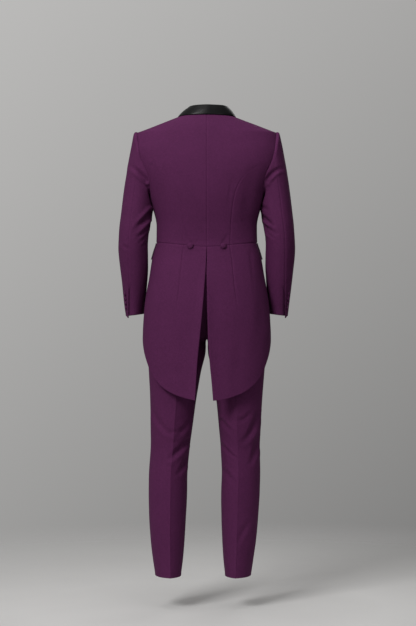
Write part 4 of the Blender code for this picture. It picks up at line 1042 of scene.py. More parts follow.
def tails(sizes, finishes):
    """The tails with their open vent, and the skirts that run on from them to the front."""
    drops = run_rows(0.0, 1.0, TAIL_LENGTH, sizes.cell)
    seam = np.array([tail_seam_angle(drop) for drop in drops])
    front = np.full(len(drops), coat_angle(-FRONT_LAP, WAIST, back=False))
    for side, word in SIDES:
        at_vent = tail_heights(drops, 90.0)
        vent = coat_angle(VENT.at(word, at_vent), at_vent)
        for node, start, end, sewn, free, rests_on in (
            ("tail", vent, seam, "right", "left", [f"back_{word}"]),
            ("skirt", seam, front, "left", "right", [f"front_{word}", f"side_back_{word}"]),
        ):
            cloth = skirt_cloth(side, drops, start, end, sizes.cell)
            fade = 1 - smoothstep((TAIL_SEAM_END - cloth.points[..., 2]) / TAIL_SEAM_FADE)
            cloth.seam("top", sizes.seam_depth)
            cloth.seam(sewn, sizes.seam_depth * 0.8, fade)
            cloth.turned_edge(free, sizes.coat_wall)
            cloth.turned_edge("bottom", sizes.coat_wall)
            if node == "tail":
                flare = sizes.vent_flare if side == LEFT else sizes.vent_flare * 0.4
                open_down = rise(cloth.down, 0.05, 0.16)
                cloth.lift += flare * hump(cloth.across, 0.016) * open_down
                cloth.skin += VENT_EDGE_RIDGE * hump(cloth.across, 0.0022, 0.0030) * open_down
            cloth.crease(TAIL_CREASES, plan_from_behind)
            cloth.unevenness(sizes.unevenness, 7)
            make_cloth(f"{node}_{word}", cloth, sizes.coat_wall, finishes)
        hip_flap(word, side, sizes, finishes)


def hip_flap(word, side, sizes, finishes):
    """The pocket flap at the hip, sewn into the waist seam and standing a little off the skirt."""
    angles = run_rows(FLAP_REAR_ANGLE, FLAP_FRONT_ANGLE, FLAP_LENGTH, sizes.cell)
    share = (angles - FLAP_REAR_ANGLE) / (FLAP_FRONT_ANGLE - FLAP_REAR_ANGLE)
    drops = strip_shares([FLAP_DEPTH], sizes.cell)[0][:, None]
    depth = FLAP_DEPTH - FLAP_CORNER * rise(share, 0.75, 0.25)
    heights = waist_height(angles) - FLAP_SEAM_DROP - depth * drops
    angles = np.broadcast_to(angles, heights.shape)
    points, normals = coat_point(angles, heights), coat_normal(angles, heights)
    low = FLAP_SEAT + FLAP_STAND_OFF * drops**2 * (0.3 + 0.7 * smoothstep(share / 0.3))
    cloth = Cloth(points + normals * (low + sizes.coat_wall)[..., None], normals, side)
    for edge in ("left", "right", "bottom"):
        cloth.turned_edge(edge, sizes.coat_wall)
    cloth.unevenness(sizes.unevenness * 0.4, 19)
    make_cloth(f"flap_{word}", cloth, sizes.coat_wall, finishes)


def with_seam_allowance(points, normals):
    """Adds a row inside the armhole, under the body, so that the seam is closed."""
    back = unit(points[0] - points[2])
    body = np.array([[0.195, 0.0, -0.15]])
    inside = points[:1] + back[None] * 0.0030 + unit(body - points[:1]) * 0.0022
    return np.concatenate([inside, points]), np.concatenate([normals[:1], normals])


def sleeves(sizes, finishes):
    """Two-piece sleeves, with the elbow's creases, and a buttoned vent at the cuff."""
    stations = run_rows(0.0, 1.0, SLEEVE_LENGTH, sizes.cell)
    hind, fore = SLEEVE_SEAMS.at("hind", stations), SLEEVE_SEAMS.at("fore", stations)
    depth = SLEEVE.at("half_depth", stations)
    vent = smoothstep((stations - CUFF_VENT_START) / (1 - CUFF_VENT_START)) * CUFF_VENT_OPEN
    vent = np.degrees(vent / depth)
    lap = np.degrees(sizes.cuff_lap * vent_opening(stations) / depth)
    for side, word in SIDES:
        sleeve_piece("top", side, word, stations, fore - 360, hind - vent, sizes, finishes)
        sleeve_piece("under", side, word, stations, hind + vent - lap, fore, sizes, finishes)


def sleeve_piece(part, side, word, stations, start, end, sizes, finishes):
    """The top or the under half of a sleeve, between its two seams."""
    turns = spread(lambda turn, row: sleeve_point(row, turn), start, end, stations, sizes.cell)
    down = np.broadcast_to(stations[:, None], turns.shape)
    points, normals = sleeve_point(down, turns), sleeve_normal(down, turns)
    if part == "top":
        corner = smoothstep(1 - (end[:, None] - turns) / CUFF_PLACKET_TURN) * rise(down, 0.93, 0.07)
        points = points + unit(points[-1:] - points[-2:-1]) * (corner * CUFF_PLACKET_DROP)[..., None]
    points, normals = with_seam_allowance(points, normals)
    turns, down = np.concatenate([turns[:1], turns]), np.concatenate([down[:1], down])
    cloth = Cloth(points, normals, side)
    slit = vent_opening(down)
    at_vent, at_fore = ("right", "left") if part == "top" else ("left", "right")
    cloth.seam(at_vent, sizes.seam_depth * 0.6, (1 - slit) * (0.2 + 0.8 * rise(down, 0.05, 0.20)))
    cloth.turned_edge(at_vent, sizes.coat_wall, slit)
    from_vent = cloth.apart[at_vent]
    if part == "top":
        cloth.lift += CUFF_EDGE_RISE * slit * hump(from_vent, 0.007)
    else:
        past_lap = smoothstep((from_vent - sizes.cuff_lap - 0.0015) / 0.0045)
        cloth.lift -= CUFF_UNDER_SINK * slit * (1 - past_lap)
    cloth.seam(at_fore, sizes.seam_depth * 0.6)
    cloth.seam("top", sizes.seam_depth * 1.1)
    cloth.turned_edge("bottom", sizes.coat_wall)
    away = cloth.apart["top"]
    roll = smoothstep(away / 0.006) * (1 - rise(away, 0.008, 0.020))
    cloth.lift += sizes.sleeve_head * roll * rise(np.cos(np.radians(turns)), -0.35, 0.9)
    inner = hump(turns % 360, 42.0, INNER_ARM_TURN) * hump(down, 0.075, INNER_ARM_STATION)
    cloth.lift += sizes.inner_arm * inner * smoothstep(away / 0.02)
    creases = SLEEVE_LEFT_CREASES if side == LEFT else SLEEVE_RIGHT_CREASES
    cloth.crease(creases, plan_from_behind, sizes.sleeve_creases)
    cloth.crease(SLEEVE_FRONT_CREASES, plan_from_front)
    cloth.unevenness(sizes.unevenness, 13 if side == LEFT else 17)
    make_cloth(f"sleeve_{part}_{word}", cloth, sizes.coat_wall, finishes)


def collar_stations(edge_lift):
    """The left half of the collar, from the centre back to the gorge: at each station the foot of
    its stand, its roll line, its leaf's edge and how full the leaf is."""
    stations = [(COLLAR_BACK, turn, turn, NECK, turn) for turn in np.linspace(90, 0, 7)]
    for height in COLLAR_FRONT.rows[::-1, 0]:
        edge_x, edge_height = (COLLAR_FRONT.at(name, height) for name in ("edge_x", "edge_height"))
        edge = coat_angle(edge_x, edge_height, back=False)
        stations.append((COLLAR_FRONT, height, front_edge_angle(height), height, edge))
    lines, bellies = [], []
    for table, where, foot_angle, foot_height, edge_angle in stations:
        foot = above_coat(foot_angle, foot_height, COLLAR_FOOT_GAP) + (0, 0, COLLAR_FOOT_LIFT)
        roll = [float(table.at(f"roll_{axis}", where)) for axis in "xyz"]
        edge = above_coat(edge_angle, table.at("edge_height", where), edge_lift)
        lines.append([foot, roll, edge])
        bellies.append(float(table.at("belly", where)))
    return np.array(lines, float), bellies


def collar(sizes, satin):
    """The satin collar, in one piece: its stand, the soft fold and the leaf, from gorge to gorge."""
    half, bellies = collar_stations(sizes.satin_wall / 2 + COLLAR_LEAF_GAP)
    other = mirrored(half, RIGHT)
    lean = np.interp(np.arange(len(half)), (0, 3, 6, len(half) - 1), (0, 1, 1, 0))
    other[:, 1, 0] -= sizes.collar_lean * lean
    stations = np.concatenate([other[:0:-1], half])
    bellies = np.array(bellies[:0:-1] + bellies)
    along = np.concatenate([[0], np.cumsum(np.linalg.norm(np.diff(stations[:, 1], axis=0), axis=-1))])
    where = run_rows(0.0, along[-1], along[-1], along[-1] / int(along[-1] / COLLAR_ROW))
    lines = [smooth_curve(along, stations[:, k], where) for k in range(3)]
    belly = np.interp(where, along, bellies)
    sections = np.array([collar_section(*row) for row in zip(*lines, belly)])
    normals = unit(np.cross(np.gradient(sections, axis=0), np.gradient(sections, axis=1)))
    on_leaf = 20
    if normals[len(where) // 2, on_leaf, 1] < 0:
        normals = -normals
    cloth = Cloth(sections.transpose(1, 0, 2), normals.transpose(1, 0, 2))
    cloth.lift += sizes.satin_wall / 2
    cloth.turned_edge("bottom", sizes.satin_wall)
    cloth.seam("left", SATIN_SEAM_DEPTH)
    cloth.seam("right", SATIN_SEAM_DEPTH)
    cloth.lift += COLLAR_UNEVENNESS * smooth_noise(cloth.points, 0.03, 29)
    make_cloth("collar", cloth, sizes.satin_wall, [satin], "satin")


def smooth_curve(along, points, where):
    """Points at distances along a smooth curve through the given ones."""
    slopes = np.gradient(points, along, axis=0)
    i = np.clip(np.searchsorted(along, where) - 1, 0, len(along) - 2)
    step = (along[i + 1] - along[i])[:, None]
    return between(points, slopes, i, step, (where - along[i])[:, None] / step)


def collar_section(foot, roll, edge, belly):
    """One section of the collar's middle line: up the stand, round the fold, down the leaf."""
    outwards = edge - roll
    outwards = unit(np.array([outwards[0], outwards[1], 0.0]))
    radius = COLLAR_FOLD / 2
    centre = roll - np.array([0, 0, radius])
    fold = [
        centre + radius * (-outwards * math.cos(a) + np.array([0, 0, math.sin(a)]))
        for a in np.linspace(0, math.pi, 8)
    ]
    stand = [foot + (fold[0] - foot) * share for share in np.linspace(0, 1, 9)[:-1]]
    leaf_line = edge - fold[-1]
    leaf_normal = unit(np.cross(np.cross(leaf_line, [0, 0, 1.0]), leaf_line))
    if leaf_normal[2] < 0:
        leaf_normal = -leaf_normal
    leaf = [
        fold[-1] + leaf_line * s + leaf_normal * (4 * s * (1 - s) * belly)
        for s in np.linspace(0.06, 0.93, 11)
    ]
    leaf += [fold[-1] + leaf_line * s for s in (0.965, 0.985, 0.9945, 1.0)]
    return np.array(stand + fold + leaf)


def trousers(sizes, finishes):
    """Four trouser pieces with their pressed creases, and the waistband under the coat."""
    cell = sizes.cell * TROUSER_CELL
    rows = run_rows(WAISTBAND_BOTTOM, TROUSER_HEM, WAISTBAND_BOTTOM - TROUSER_HEM, cell)
    rows = np.array(sorted({*rows, CROTCH}, reverse=True))
    for side, word in SIDES:
        turns, at_crease = trouser_turns(side, rows, cell)
        for part in ("back", "front"):
            trouser_piece(part, side, word, rows, turns, at_crease, sizes, finishes)
    waistband(sizes, finishes)


def trouser_turns(side, rows, cell):
    """The turns of the columns, from inside leg to outside leg by way of the pressed crease,
    and the column that lies on the crease."""
    inside = trouser_turn_limit(rows)
    crease = inside / 2 + (90 - inside / 2) * rise(inside, 94, 40)
    close = len(EDGE_STEPS) - 1
    halves = []
    for start, end, kept in (
        (inside, crease, slice(None, -close)),
        (crease, np.zeros(len(rows)), slice(close, None)),
    ):
        widths = surface_widths(lambda turn, height: trouser_point(turn, height, side), start, end, rows)
        share = strip_shares(widths, cell)[:, kept]
        share = (share - share[:, :1]) / (share[:, -1:] - share[:, :1])
        halves.append(start[:, None] + (end - start)[:, None] * share)
    return np.concatenate([halves[0], halves[1][:, 1:]], axis=1), halves[0].shape[1] - 1


def trouser_piece(part, side, word, rows, turns, at_crease, sizes, finishes):
    """One panel of a leg, all round its half, with its pressed crease."""
    signed = turns if part == "back" else -turns
    heights = np.broadcast_to(rows[:, None], signed.shape)
    points, normals = trouser_point(signed, heights, side), trouser_normal(signed, heights, side)
    above = rows > CROTCH
    points[above, 0, 0] = SEAT_CLOSED_X
    normals[above, 0] = unit(normals[above, 0] * (0, 1, 0) + (0, 1e-6, 0))
    cloth = Cloth(points, normals, side)
    cloth.seam("left", sizes.seam_depth * 0.6)
    cloth.seam("right", sizes.seam_depth * 0.6)
    cloth.turned_edge("bottom", sizes.trouser_wall)
    from_crease = np.abs(cloth.across - cloth.across[:, at_crease : at_crease + 1])
    cloth.lift += sizes.crease_rise * np.exp(-from_crease / CREASE_RISE_WIDTH) * pressed_share(heights)
    below = smoothstep((CROTCH - heights) / 0.022) * (1 - smoothstep((CROTCH - heights - 0.03) / 0.08))
    facing_in = smoothstep((-normals[..., 0] - 0.2) / 0.6)
    cloth.lift += INNER_LEG_FULLNESS * np.clip(points[..., 0], 0, INNER_LEG_REACH) * below * facing_in
    if part == "back":
        creases = LEG_LEFT_CREASES if side == LEFT else LEG_RIGHT_CREASES
        cloth.crease(creases, plan_from_behind, sizes.leg_creases)
    else:
        cloth.crease(LEG_FRONT_CREASES, plan_from_front)
    cloth.unevenness(sizes.unevenness * 0.9, 23 if side == LEFT else 31)
    made = make_cloth(f"trouser_{part}_{word}", cloth, sizes.trouser_wall, finishes)
    press_sharp(made, turns.shape, at_crease, int(np.argmax(rows < CRISP_FROM)))


def press_sharp(piece, shape, column, first):
    """Keeps the pressed crease of a leg crisp, from one row of its grid down to the hem."""
    edges = np.empty(len(piece.data.edges) * 2, dtype=np.int32)
    piece.data.edges.foreach_get("vertices", edges)
    row, at = np.divmod(edges.reshape(-1, 2), shape[1])
    crisp = np.all((at == column) & (row >= first) & (row < shape[0]), axis=1)
    mark = piece.data.attributes.new("sharp_edge", "BOOLEAN", "EDGE")
    mark.data.foreach_set("value", crisp)


def waistband(sizes, finishes):
    """The waistband, one strip round the waist that meets at the centre front."""
    turns = np.linspace(-90, 270, 161)
    heights = run_rows(WAISTBAND_TOP, WAISTBAND_BOTTOM, WAISTBAND_TOP - WAISTBAND_BOTTOM, sizes.cell)
    plain = np.where(turns > 90, 180 - turns, turns)
    flip = np.where(turns > 90, RIGHT, LEFT)
    grid = np.broadcast_to(plain, (len(heights), len(plain)))
    points = trouser_point(grid, heights[:, None], LEFT)
    normals = trouser_normal(grid, heights[:, None], LEFT)
    mirror = np.stack([flip, np.ones_like(flip), np.ones_like(flip)], -1)
    cloth = Cloth(points * mirror, normals * mirror)
    cloth.turned_edge("top", sizes.trouser_wall)
    cloth.seam("bottom", sizes.seam_depth * 0.6)
    make_cloth("waistband", cloth, sizes.trouser_wall, finishes)


def outside_tree(panel):
    """A search tree over the outside of a piece of cloth."""
    outer = SHELLS[panel][1]
    return BVHTree.FromPolygons(outer.reshape(-1, 3).tolist(), grid_faces(outer.shape)[1].tolist())


def covered_button(node, panel, radius, start, towards, finishes, pleats=12, facing=None, raised=0.0):
    """A button covered in the suit's cloth, seated where a line meets the outside of a piece.
    The cloth is drawn under its rim in small pleats."""
    name = f"covered_{node}"
    place, normal, _, _ = outside_tree(panel).ray_cast(Vector(start), Vector(towards))
    if place is None:
        raise RuntimeError(f"{name}: nothing under the button")
    if normal.dot(Vector(towards)) > 0:
        normal = -normal
    if facing is not None:
        normal = Vector(facing).normalized()
    height = radius * BUTTON_THICKNESS
    around = BUTTON_POINTS
    turns = np.linspace(0, 2 * math.pi, around, endpoint=False)
    rings, maps = [], []
    for share, level in BUTTON_PROFILE:
        gather = rise(share, PLEAT_FROM, PLEAT_RUN) * (1 if level > 0.05 else 0.6)
        pleat = gather * np.cos(pleats * turns)
        flat = np.stack([share * radius * np.cos(turns), share * radius * np.sin(turns)], -1)
        up = np.full(around, level * height) + PLEAT_DEPTH * pleat * height
        rings.append(np.concatenate([flat * (1 + PLEAT_WIDTH * pleat)[:, None], up[:, None]], 1))
        maps.append(flat)
    turned = np.array(normal.to_track_quat("Z", "Y").to_matrix())
    seat = np.array(place + normal * BUTTON_STAND_OFF) + (0, 0, raised)
    points = np.concatenate([rings[0][:1], *rings[1:]]) @ turned.T + seat
    faces = disc_faces(len(rings) - 1, around)
    faces.append(tuple(range(len(points) - 1, len(points) - 1 - around, -1)))
    made = finish_mesh(name, points, faces, finishes[:1], uv=np.concatenate([maps[0][:1], *maps[1:]]))
    made.data.set_sharp_from_angle(angle=math.radians(75))
    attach(made, "root")
    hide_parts(node)


def buttons(finishes):
    """The two waist buttons, four on each cuff, and one on the front."""
    down = np.linspace(0.6, 1, 200)
    heights = sleeve_point(down, CUFF_BUTTON_ANGLE)[:, 2]
    for side, word in SIDES:
        start = (side * BACK_BUTTON_X, 0.3, BACK_BUTTON_HEIGHT - BACK_BUTTON_SEAT_DROP)
        facing = np.array(BACK_BUTTON_FACING) * (side, 1, 1)
        size = (f"wool_tail_{word}", BACK_BUTTON_RADIUS)
        seat = {"facing": facing, "raised": BACK_BUTTON_RISE}
        covered_button(f"waist_button_{word}", *size, start, (0, -1, 0), finishes, **seat)
        size = (f"wool_sleeve_top_{word}", CUFF_BUTTON_RADIUS)
        for i, height in enumerate(CUFF_BUTTON_HEIGHTS):
            station = np.interp(-height, -heights, down)
            place, out = sleeve_point(station, CUFF_BUTTON_ANGLE), sleeve_normal(station, CUFF_BUTTON_ANGLE)
            start, towards = mirrored(place + out * 0.05, side), mirrored(-out, side)
            covered_button(f"cuff_button_{word}_{i + 1}", *size, start, towards, finishes, 9)
    size = ("wool_front_left", FRONT_BUTTON_RADIUS)
    covered_button("front_button", *size, (0.0, -0.3, FRONT_BUTTON_HEIGHT), (0, 1, 0), finishes)


def line_beside(name, edge, distance, first, last):
    """A line of points on the outside of a piece, at a distance from one of its edges."""
    cloth, outer = SHELLS[name]
    apart, normals = cloth.apart[edge], cloth.normals
    if edge in ("top", "bottom"):
        apart, outer, normals = apart.T, outer.transpose(1, 0, 2), normals.transpose(1, 0, 2)
    line = []
    for i in range(int(len(apart) * first), int(math.ceil(len(apart) * last))):
        where, points, facing = apart[i], outer[i], normals[i]
        if where.max() < distance * 2.2:
            continue
        if where[0] > where[-1]:
            where, points, facing = where[::-1], points[::-1], facing[::-1]
        place = [np.interp(distance, where, points[:, k]) for k in range(3)]
        out = [np.interp(distance, where, facing[:, k]) for k in range(3)]
        line.append(np.array(place) + np.array(out) * THREAD_STAND_OFF)
    return np.array(line)


def line_on_front(path, panel):
    """A line drawn on the front plan, laid on the outside of a piece."""
    tree = outside_tree(panel)
    hits = (tree.ray_cast(Vector((x, -0.4, z)), Vector((0, 1, 0)))[0] for x, z in path)
    return np.array([np.array(place) - (0, THREAD_STAND_OFF, 0) for place in hits if place is not None])


def link_nodes(tree, links):
    """Links sockets, each written as a node and the name of its output or input."""
    for (source, output), (target, given) in links:
        tree.links.new(source.outputs[output], target.inputs[given])


def stitch_tree():
    """Stitches along lines: each stitch is a small rounded bar, spaced evenly."""
    tree = bpy.data.node_groups.new("Running stitches", "GeometryNodeTree")
    sockets = tree.interface
    sockets.new_socket("Lines", in_out="INPUT", socket_type="NodeSocketGeometry")
    for label, value in (("Spacing", 0.005), ("Stitch length", 0.0018), ("Thread width", 0.0004)):
        socket = sockets.new_socket(label, in_out="INPUT", socket_type="NodeSocketFloat")
        socket.default_value, socket.min_value = value, 0.0001
    sockets.new_socket("Thread", in_out="INPUT", socket_type="NodeSocketMaterial")
    sockets.new_socket("Stitches", in_out="OUTPUT", socket_type="NodeSocketGeometry")
    given, result = tree.nodes.new("NodeGroupInput"), tree.nodes.new("NodeGroupOutput")
    curve, evenly, ball, shape, place, real, smooth, finish = (
        tree.nodes.new(f"GeometryNode{kind}")
        for kind in (
            "MeshToCurve", "CurveToPoints", "MeshUVSphere", "Transform", "InstanceOnPoints",
            "RealizeInstances", "SetShadeSmooth", "SetMaterial",
        )
    )
    size = tree.nodes.new("ShaderNodeCombineXYZ")
    evenly.mode = "LENGTH"
    for label, value in (("Segments", 6), ("Rings", 4), ("Radius", 0.5)):
        ball.inputs[label].default_value = value
    links = (
        ((given, "Lines"), (curve, "Mesh")),
        ((curve, "Curve"), (evenly, "Curve")),
        ((given, "Spacing"), (evenly, "Length")),
        ((given, "Thread width"), (size, "X")),
        ((given, "Thread width"), (size, "Y")),
        ((given, "Stitch length"), (size, "Z")),
        ((ball, "Mesh"), (shape, "Geometry")),
        ((size, "Vector"), (shape, "Scale")),
        ((evenly, "Points"), (place, "Points")),
        ((shape, "Geometry"), (place, "Instance")),
        ((evenly, "Rotation"), (place, "Rotation")),
        ((place, "Instances"), (real, "Geometry")),
        ((real, "Geometry"), (smooth, "Geometry")),
        ((smooth, "Geometry"), (finish, "Geometry")),
        ((given, "Thread"), (finish, "Material")),
        ((finish, "Geometry"), (result, "Stitches")),
    )
    link_nodes(tree, links)
    return tree


def stitch_piece(name, lines, tree, spacing, length, width, thread, slot):
    """One piece of stitching, made by the tree from lines of points."""
    points, edges = [], []
    for line in lines:
        start = len(points)
        points += [tuple(p) for p in line]
        edges += [(start + i, start + i + 1) for i in range(len(line) - 1)]
    mesh = bpy.data.meshes.new(name)
    mesh.from_pydata(points, edges, [])
    guide = bpy.data.objects.new(name + "_guide", mesh)
    bpy.context.scene.collection.objects.link(guide)
    modifier = guide.modifiers.new("Stitches", "NODES")
    modifier.node_group = tree
    values = {"Spacing": spacing, "Stitch length": length, "Thread width": width, "Thread": thread}
    for item in tree.interface.items_tree:
        if item.in_out == "INPUT" and item.name in values:
            modifier[item.identifier] = values[item.name]
    guide.update_tag()
    bpy.context.view_layer.update()
    ready = guide.evaluated_get(bpy.context.evaluated_depsgraph_get())
    made = bpy.data.objects.new(name, bpy.data.meshes.new_from_object(ready))
    made.data.name = name
    bpy.context.scene.collection.objects.link(made)
    guide.modifiers.clear()
    bpy.data.objects.remove(guide)
    if not made.data.polygons:
        raise RuntimeError(f"{name}: no stitches were made")
    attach(made, "root")


def stitching(sewing, thread, silk):
    """Edge stitching on the lapels, flaps, skirts and vent, the trousers' hem stitching, the fly
    line and the buttonhole."""
    tree = stitch_tree()
    size = (sewing.spacing, sewing.length, sewing.thread)
    lines = []
    for _, word in SIDES:
        for piece, *where in (
            ("tail", "left", 0.006, 0.04, 0.995),
            ("flap", "left", 0.005, 0.05, 0.92),
            ("flap", "bottom", 0.005, 0.05, 0.95),
            ("flap", "right", 0.005, 0.05, 0.92),
            ("skirt", "bottom", 0.006, 0.55, 0.99),
        ):
            lines.append(line_beside(f"wool_{piece}_{word}", *where))
    stitch_piece("edge_stitching_coat", lines, tree, *size, thread, "wool")
    lines = [line_beside(f"satin_lapel_{word}", "left", 0.004, 0.02, 0.98) for _, word in SIDES]
    stitch_piece("edge_stitching_lapels", lines, tree, *size, silk, "satin")
    lines = [
        line_beside(f"wool_trouser_{part}_{word}", "bottom", 0.045, 0.01, 0.99)
        for _, word in SIDES
        for part in ("back", "front")
    ]
    stitch_piece("hem_stitching_trousers", lines, tree, *HEM_STITCH, sewing.thread, thread, "wool")
    path = [(FLY_WIDTH, z) for z in np.linspace(FLY_TOP, FLY_BEND, 30)]
    for turn in np.linspace(0, math.pi / 2 - 0.12, 24):
        path.append((FLY_WIDTH * math.cos(turn), FLY_BEND - FLY_WIDTH * math.sin(turn)))
    fly = line_on_front(path, "wool_trouser_front_left")
    stitch_piece("fly_stitching", [fly], tree, *FLY_STITCH, sewing.thread, thread, "wool")
    xs = np.linspace(*BUTTONHOLE_ENDS, 60)
    hole = [
        line_on_front([(x, FRONT_BUTTON_HEIGHT + offset) for x in xs], "wool_front_left")
        for offset in (-BUTTONHOLE_HALF, BUTTONHOLE_HALF)
    ]
    stitch_piece("front_buttonhole", hole, tree, *BUTTONHOLE_STITCH, thread, "wool")


def new_group(name, inputs, outputs):
    """A shader node group with named sockets, and its input and output nodes."""
    group = bpy.data.node_groups.new(name, "ShaderNodeTree")
    for label, kind, value in inputs:
        socket = group.interface.new_socket(label, in_out="INPUT", socket_type=f"NodeSocket{kind}")
        if value is not None:
            socket.default_value = value
    for label, kind in outputs:
        group.interface.new_socket(label, in_out="OUTPUT", socket_type=f"NodeSocket{kind}")
    return group, group.nodes.new("NodeGroupInput"), group.nodes.new("NodeGroupOutput")


def calc(tree, operation, first, second=0.0, third=0.0):
    """A Math node on sockets or numbers, and its result."""
    made = tree.nodes.new("ShaderNodeMath")
    made.operation = operation
    for socket, value in zip(made.inputs, (first, second, third)):
        if isinstance(value, (int, float)):
            socket.default_value = value
        else:
            tree.links.new(value, socket)
    return made.outputs[0]


def noise(tree, vector, scale, detail=2.0, roughness=0.5):
    made = tree.nodes.new("ShaderNodeTexNoise")
    made.inputs["Scale"].default_value = scale
    made.inputs["Detail"].default_value = detail
    made.inputs["Roughness"].default_value = roughness
    tree.links.new(vector, made.inputs["Vector"])
    return made.outputs["Fac"]


def twill_group():
    """Twill weave: fine diagonal ribs crossed by threads, with a little fuzz. Its Shade is painted shade:
    the colour is darker where the weave lies low, in the grooves between ribs.
    """
    inputs = (
        ("Vector", "Vector", None),
        ("Ribs per metre", "Float", 1500.0),
        ("Steepness", "Float", 1.0),
        ("Fuzz", "Float", 0.35),
    )
    group, given, result = new_group("Twill weave", inputs, (("Height", "Float"), ("Shade", "Float")))
    split = group.nodes.new("ShaderNodeSeparateXYZ")
    group.links.new(given.outputs["Vector"], split.inputs[0])
    wander = noise(group, given.outputs["Vector"], 900.0, 1.0)
    across = calc(group, "MULTIPLY", split.outputs["X"], given.outputs["Ribs per metre"])
    down = calc(group, "MULTIPLY", split.outputs["Y"], given.outputs["Ribs per metre"])
    slanted = calc(group, "MULTIPLY", down, given.outputs["Steepness"])
    phase = calc(group, "ADD", across, slanted)
    phase = calc(group, "ADD", phase, calc(group, "MULTIPLY", wander, 0.35))
    rib = calc(group, "SINE", calc(group, "MULTIPLY", phase, 2 * math.pi))
    thread = calc(group, "SINE", calc(group, "MULTIPLY", across, 4 * math.pi))
    rib = calc(group, "MULTIPLY_ADD", rib, 0.5, 0.5)
    thread = calc(group, "MULTIPLY_ADD", thread, 0.12, 0.0)
    weave = calc(group, "ADD", rib, thread)
    fuzz = noise(group, given.outputs["Vector"], 2600.0, 3.0, 0.65)
    fuzz = calc(group, "MULTIPLY", fuzz, given.outputs["Fuzz"])
    group.links.new(calc(group, "ADD", weave, fuzz), result.inputs["Height"])
    # Painted shade: the colour is darker in the weave's grooves and lighter on its ribs
    group.links.new(calc(group, "MULTIPLY_ADD", weave, 0.16, 0.92), result.inputs["Shade"])
    return group


def tone_group():
    """Colour that varies softly over the cloth, with a finer mottle, and the roughness with it."""
    inputs = (
        ("Vector", "Vector", None),
        ("Colour", "Color", (0.08, 0.02, 0.062, 1)),
        ("Shade", "Float", 1.0),
        ("Soft variation", "Float", 0.10),
        ("Mottle", "Float", 0.10),
        ("Roughness", "Float", 0.8),
    )
    group, given, result = new_group("Cloth tone", inputs, (("Colour", "Color"), ("Roughness", "Float")))
    soft = noise(group, given.outputs["Vector"], 12.0, 3.0)
    mottle = noise(group, given.outputs["Vector"], 170.0, 4.0, 0.72)
    soft = calc(group, "MULTIPLY", calc(group, "SUBTRACT", soft, 0.5), given.outputs["Soft variation"])
    mottle = calc(group, "MULTIPLY", calc(group, "SUBTRACT", mottle, 0.5), given.outputs["Mottle"])
    # Shade brings in the weave's painted shade, a darker colour in its grooves
    value = calc(group, "ADD", calc(group, "ADD", soft, mottle), given.outputs["Shade"])
    mix = group.nodes.new("ShaderNodeVectorMath")
    mix.operation = "SCALE"
    group.links.new(given.outputs["Colour"], mix.inputs[0])
    group.links.new(value, mix.inputs["Scale"])
    group.links.new(mix.outputs["Vector"], result.inputs["Colour"])
    rough = calc(group, "MULTIPLY_ADD", soft, 0.6, given.outputs["Roughness"])
    rough = calc(group, "MULTIPLY_ADD", mottle, 0.4, rough)
    group.links.new(rough, result.inputs["Roughness"])
    return group


def cloth_finish(name, groups, colour, tone, weave, bump, shader_values):
    """A cloth material: weave and tone from the shared groups, and its own shader."""
    made = bpy.data.materials.new(name)
    made.use_nodes = True
    tree = made.node_tree
    shader = tree.nodes["Principled BSDF"]
    twill, cloth_tone = groups
    flat, place = tree.nodes.new("ShaderNodeUVMap"), tree.nodes.new("ShaderNodeTexCoord")
    flat.uv_map = "cloth"
    woven, toned = tree.nodes.new("ShaderNodeGroup"), tree.nodes.new("ShaderNodeGroup")
    woven.node_tree, toned.node_tree = twill, cloth_tone
    for group_node, values in ((woven, weave), (toned, tone)):
        for label, value in values.items():
            group_node.inputs[label].default_value = value
    toned.inputs["Colour"].default_value = (*colour, 1)
    tree.links.new(flat.outputs["UV"], woven.inputs["Vector"])
    tree.links.new(place.outputs["Object"], toned.inputs["Vector"])
    # The weave's painted shade darkens the colour in its grooves
    tree.links.new(woven.outputs["Shade"], toned.inputs["Shade"])
    relief = tree.nodes.new("ShaderNodeBump")
    relief.inputs["Strength"].default_value, relief.inputs["Distance"].default_value = bump
    tree.links.new(woven.outputs["Height"], relief.inputs["Height"])
    tree.links.new(relief.outputs["Normal"], shader.inputs["Normal"])
    tree.links.new(toned.outputs["Colour"], shader.inputs["Base Color"])
    tree.links.new(toned.outputs["Roughness"], shader.inputs["Roughness"])
    for label, value in shader_values.items():
        shader.inputs[label].default_value = value
    return made


def thread_finish(name, colour):
    """Fine sewing thread, with a twist that shows only close by."""
    made = bpy.data.materials.new(name)
    made.use_nodes = True
    tree = made.node_tree
    shader = tree.nodes["Principled BSDF"]
    place = tree.nodes.new("ShaderNodeTexCoord")
    ply = noise(tree, place.outputs["Object"], 3000.0, 2.0)
    ramp = tree.nodes.new("ShaderNodeMix")
    ramp.data_type = "RGBA"
    ramp.inputs["A"].default_value = (*(c * 0.75 for c in colour), 1)
    ramp.inputs["B"].default_value = (*(c * 1.3 for c in colour), 1)
    tree.links.new(ply, ramp.inputs["Factor"])
    tree.links.new(ramp.outputs["Result"], shader.inputs["Base Color"])
    tree.links.new(calc(tree, "MULTIPLY_ADD", ply, 0.3, 0.4), shader.inputs["Roughness"])
    return made


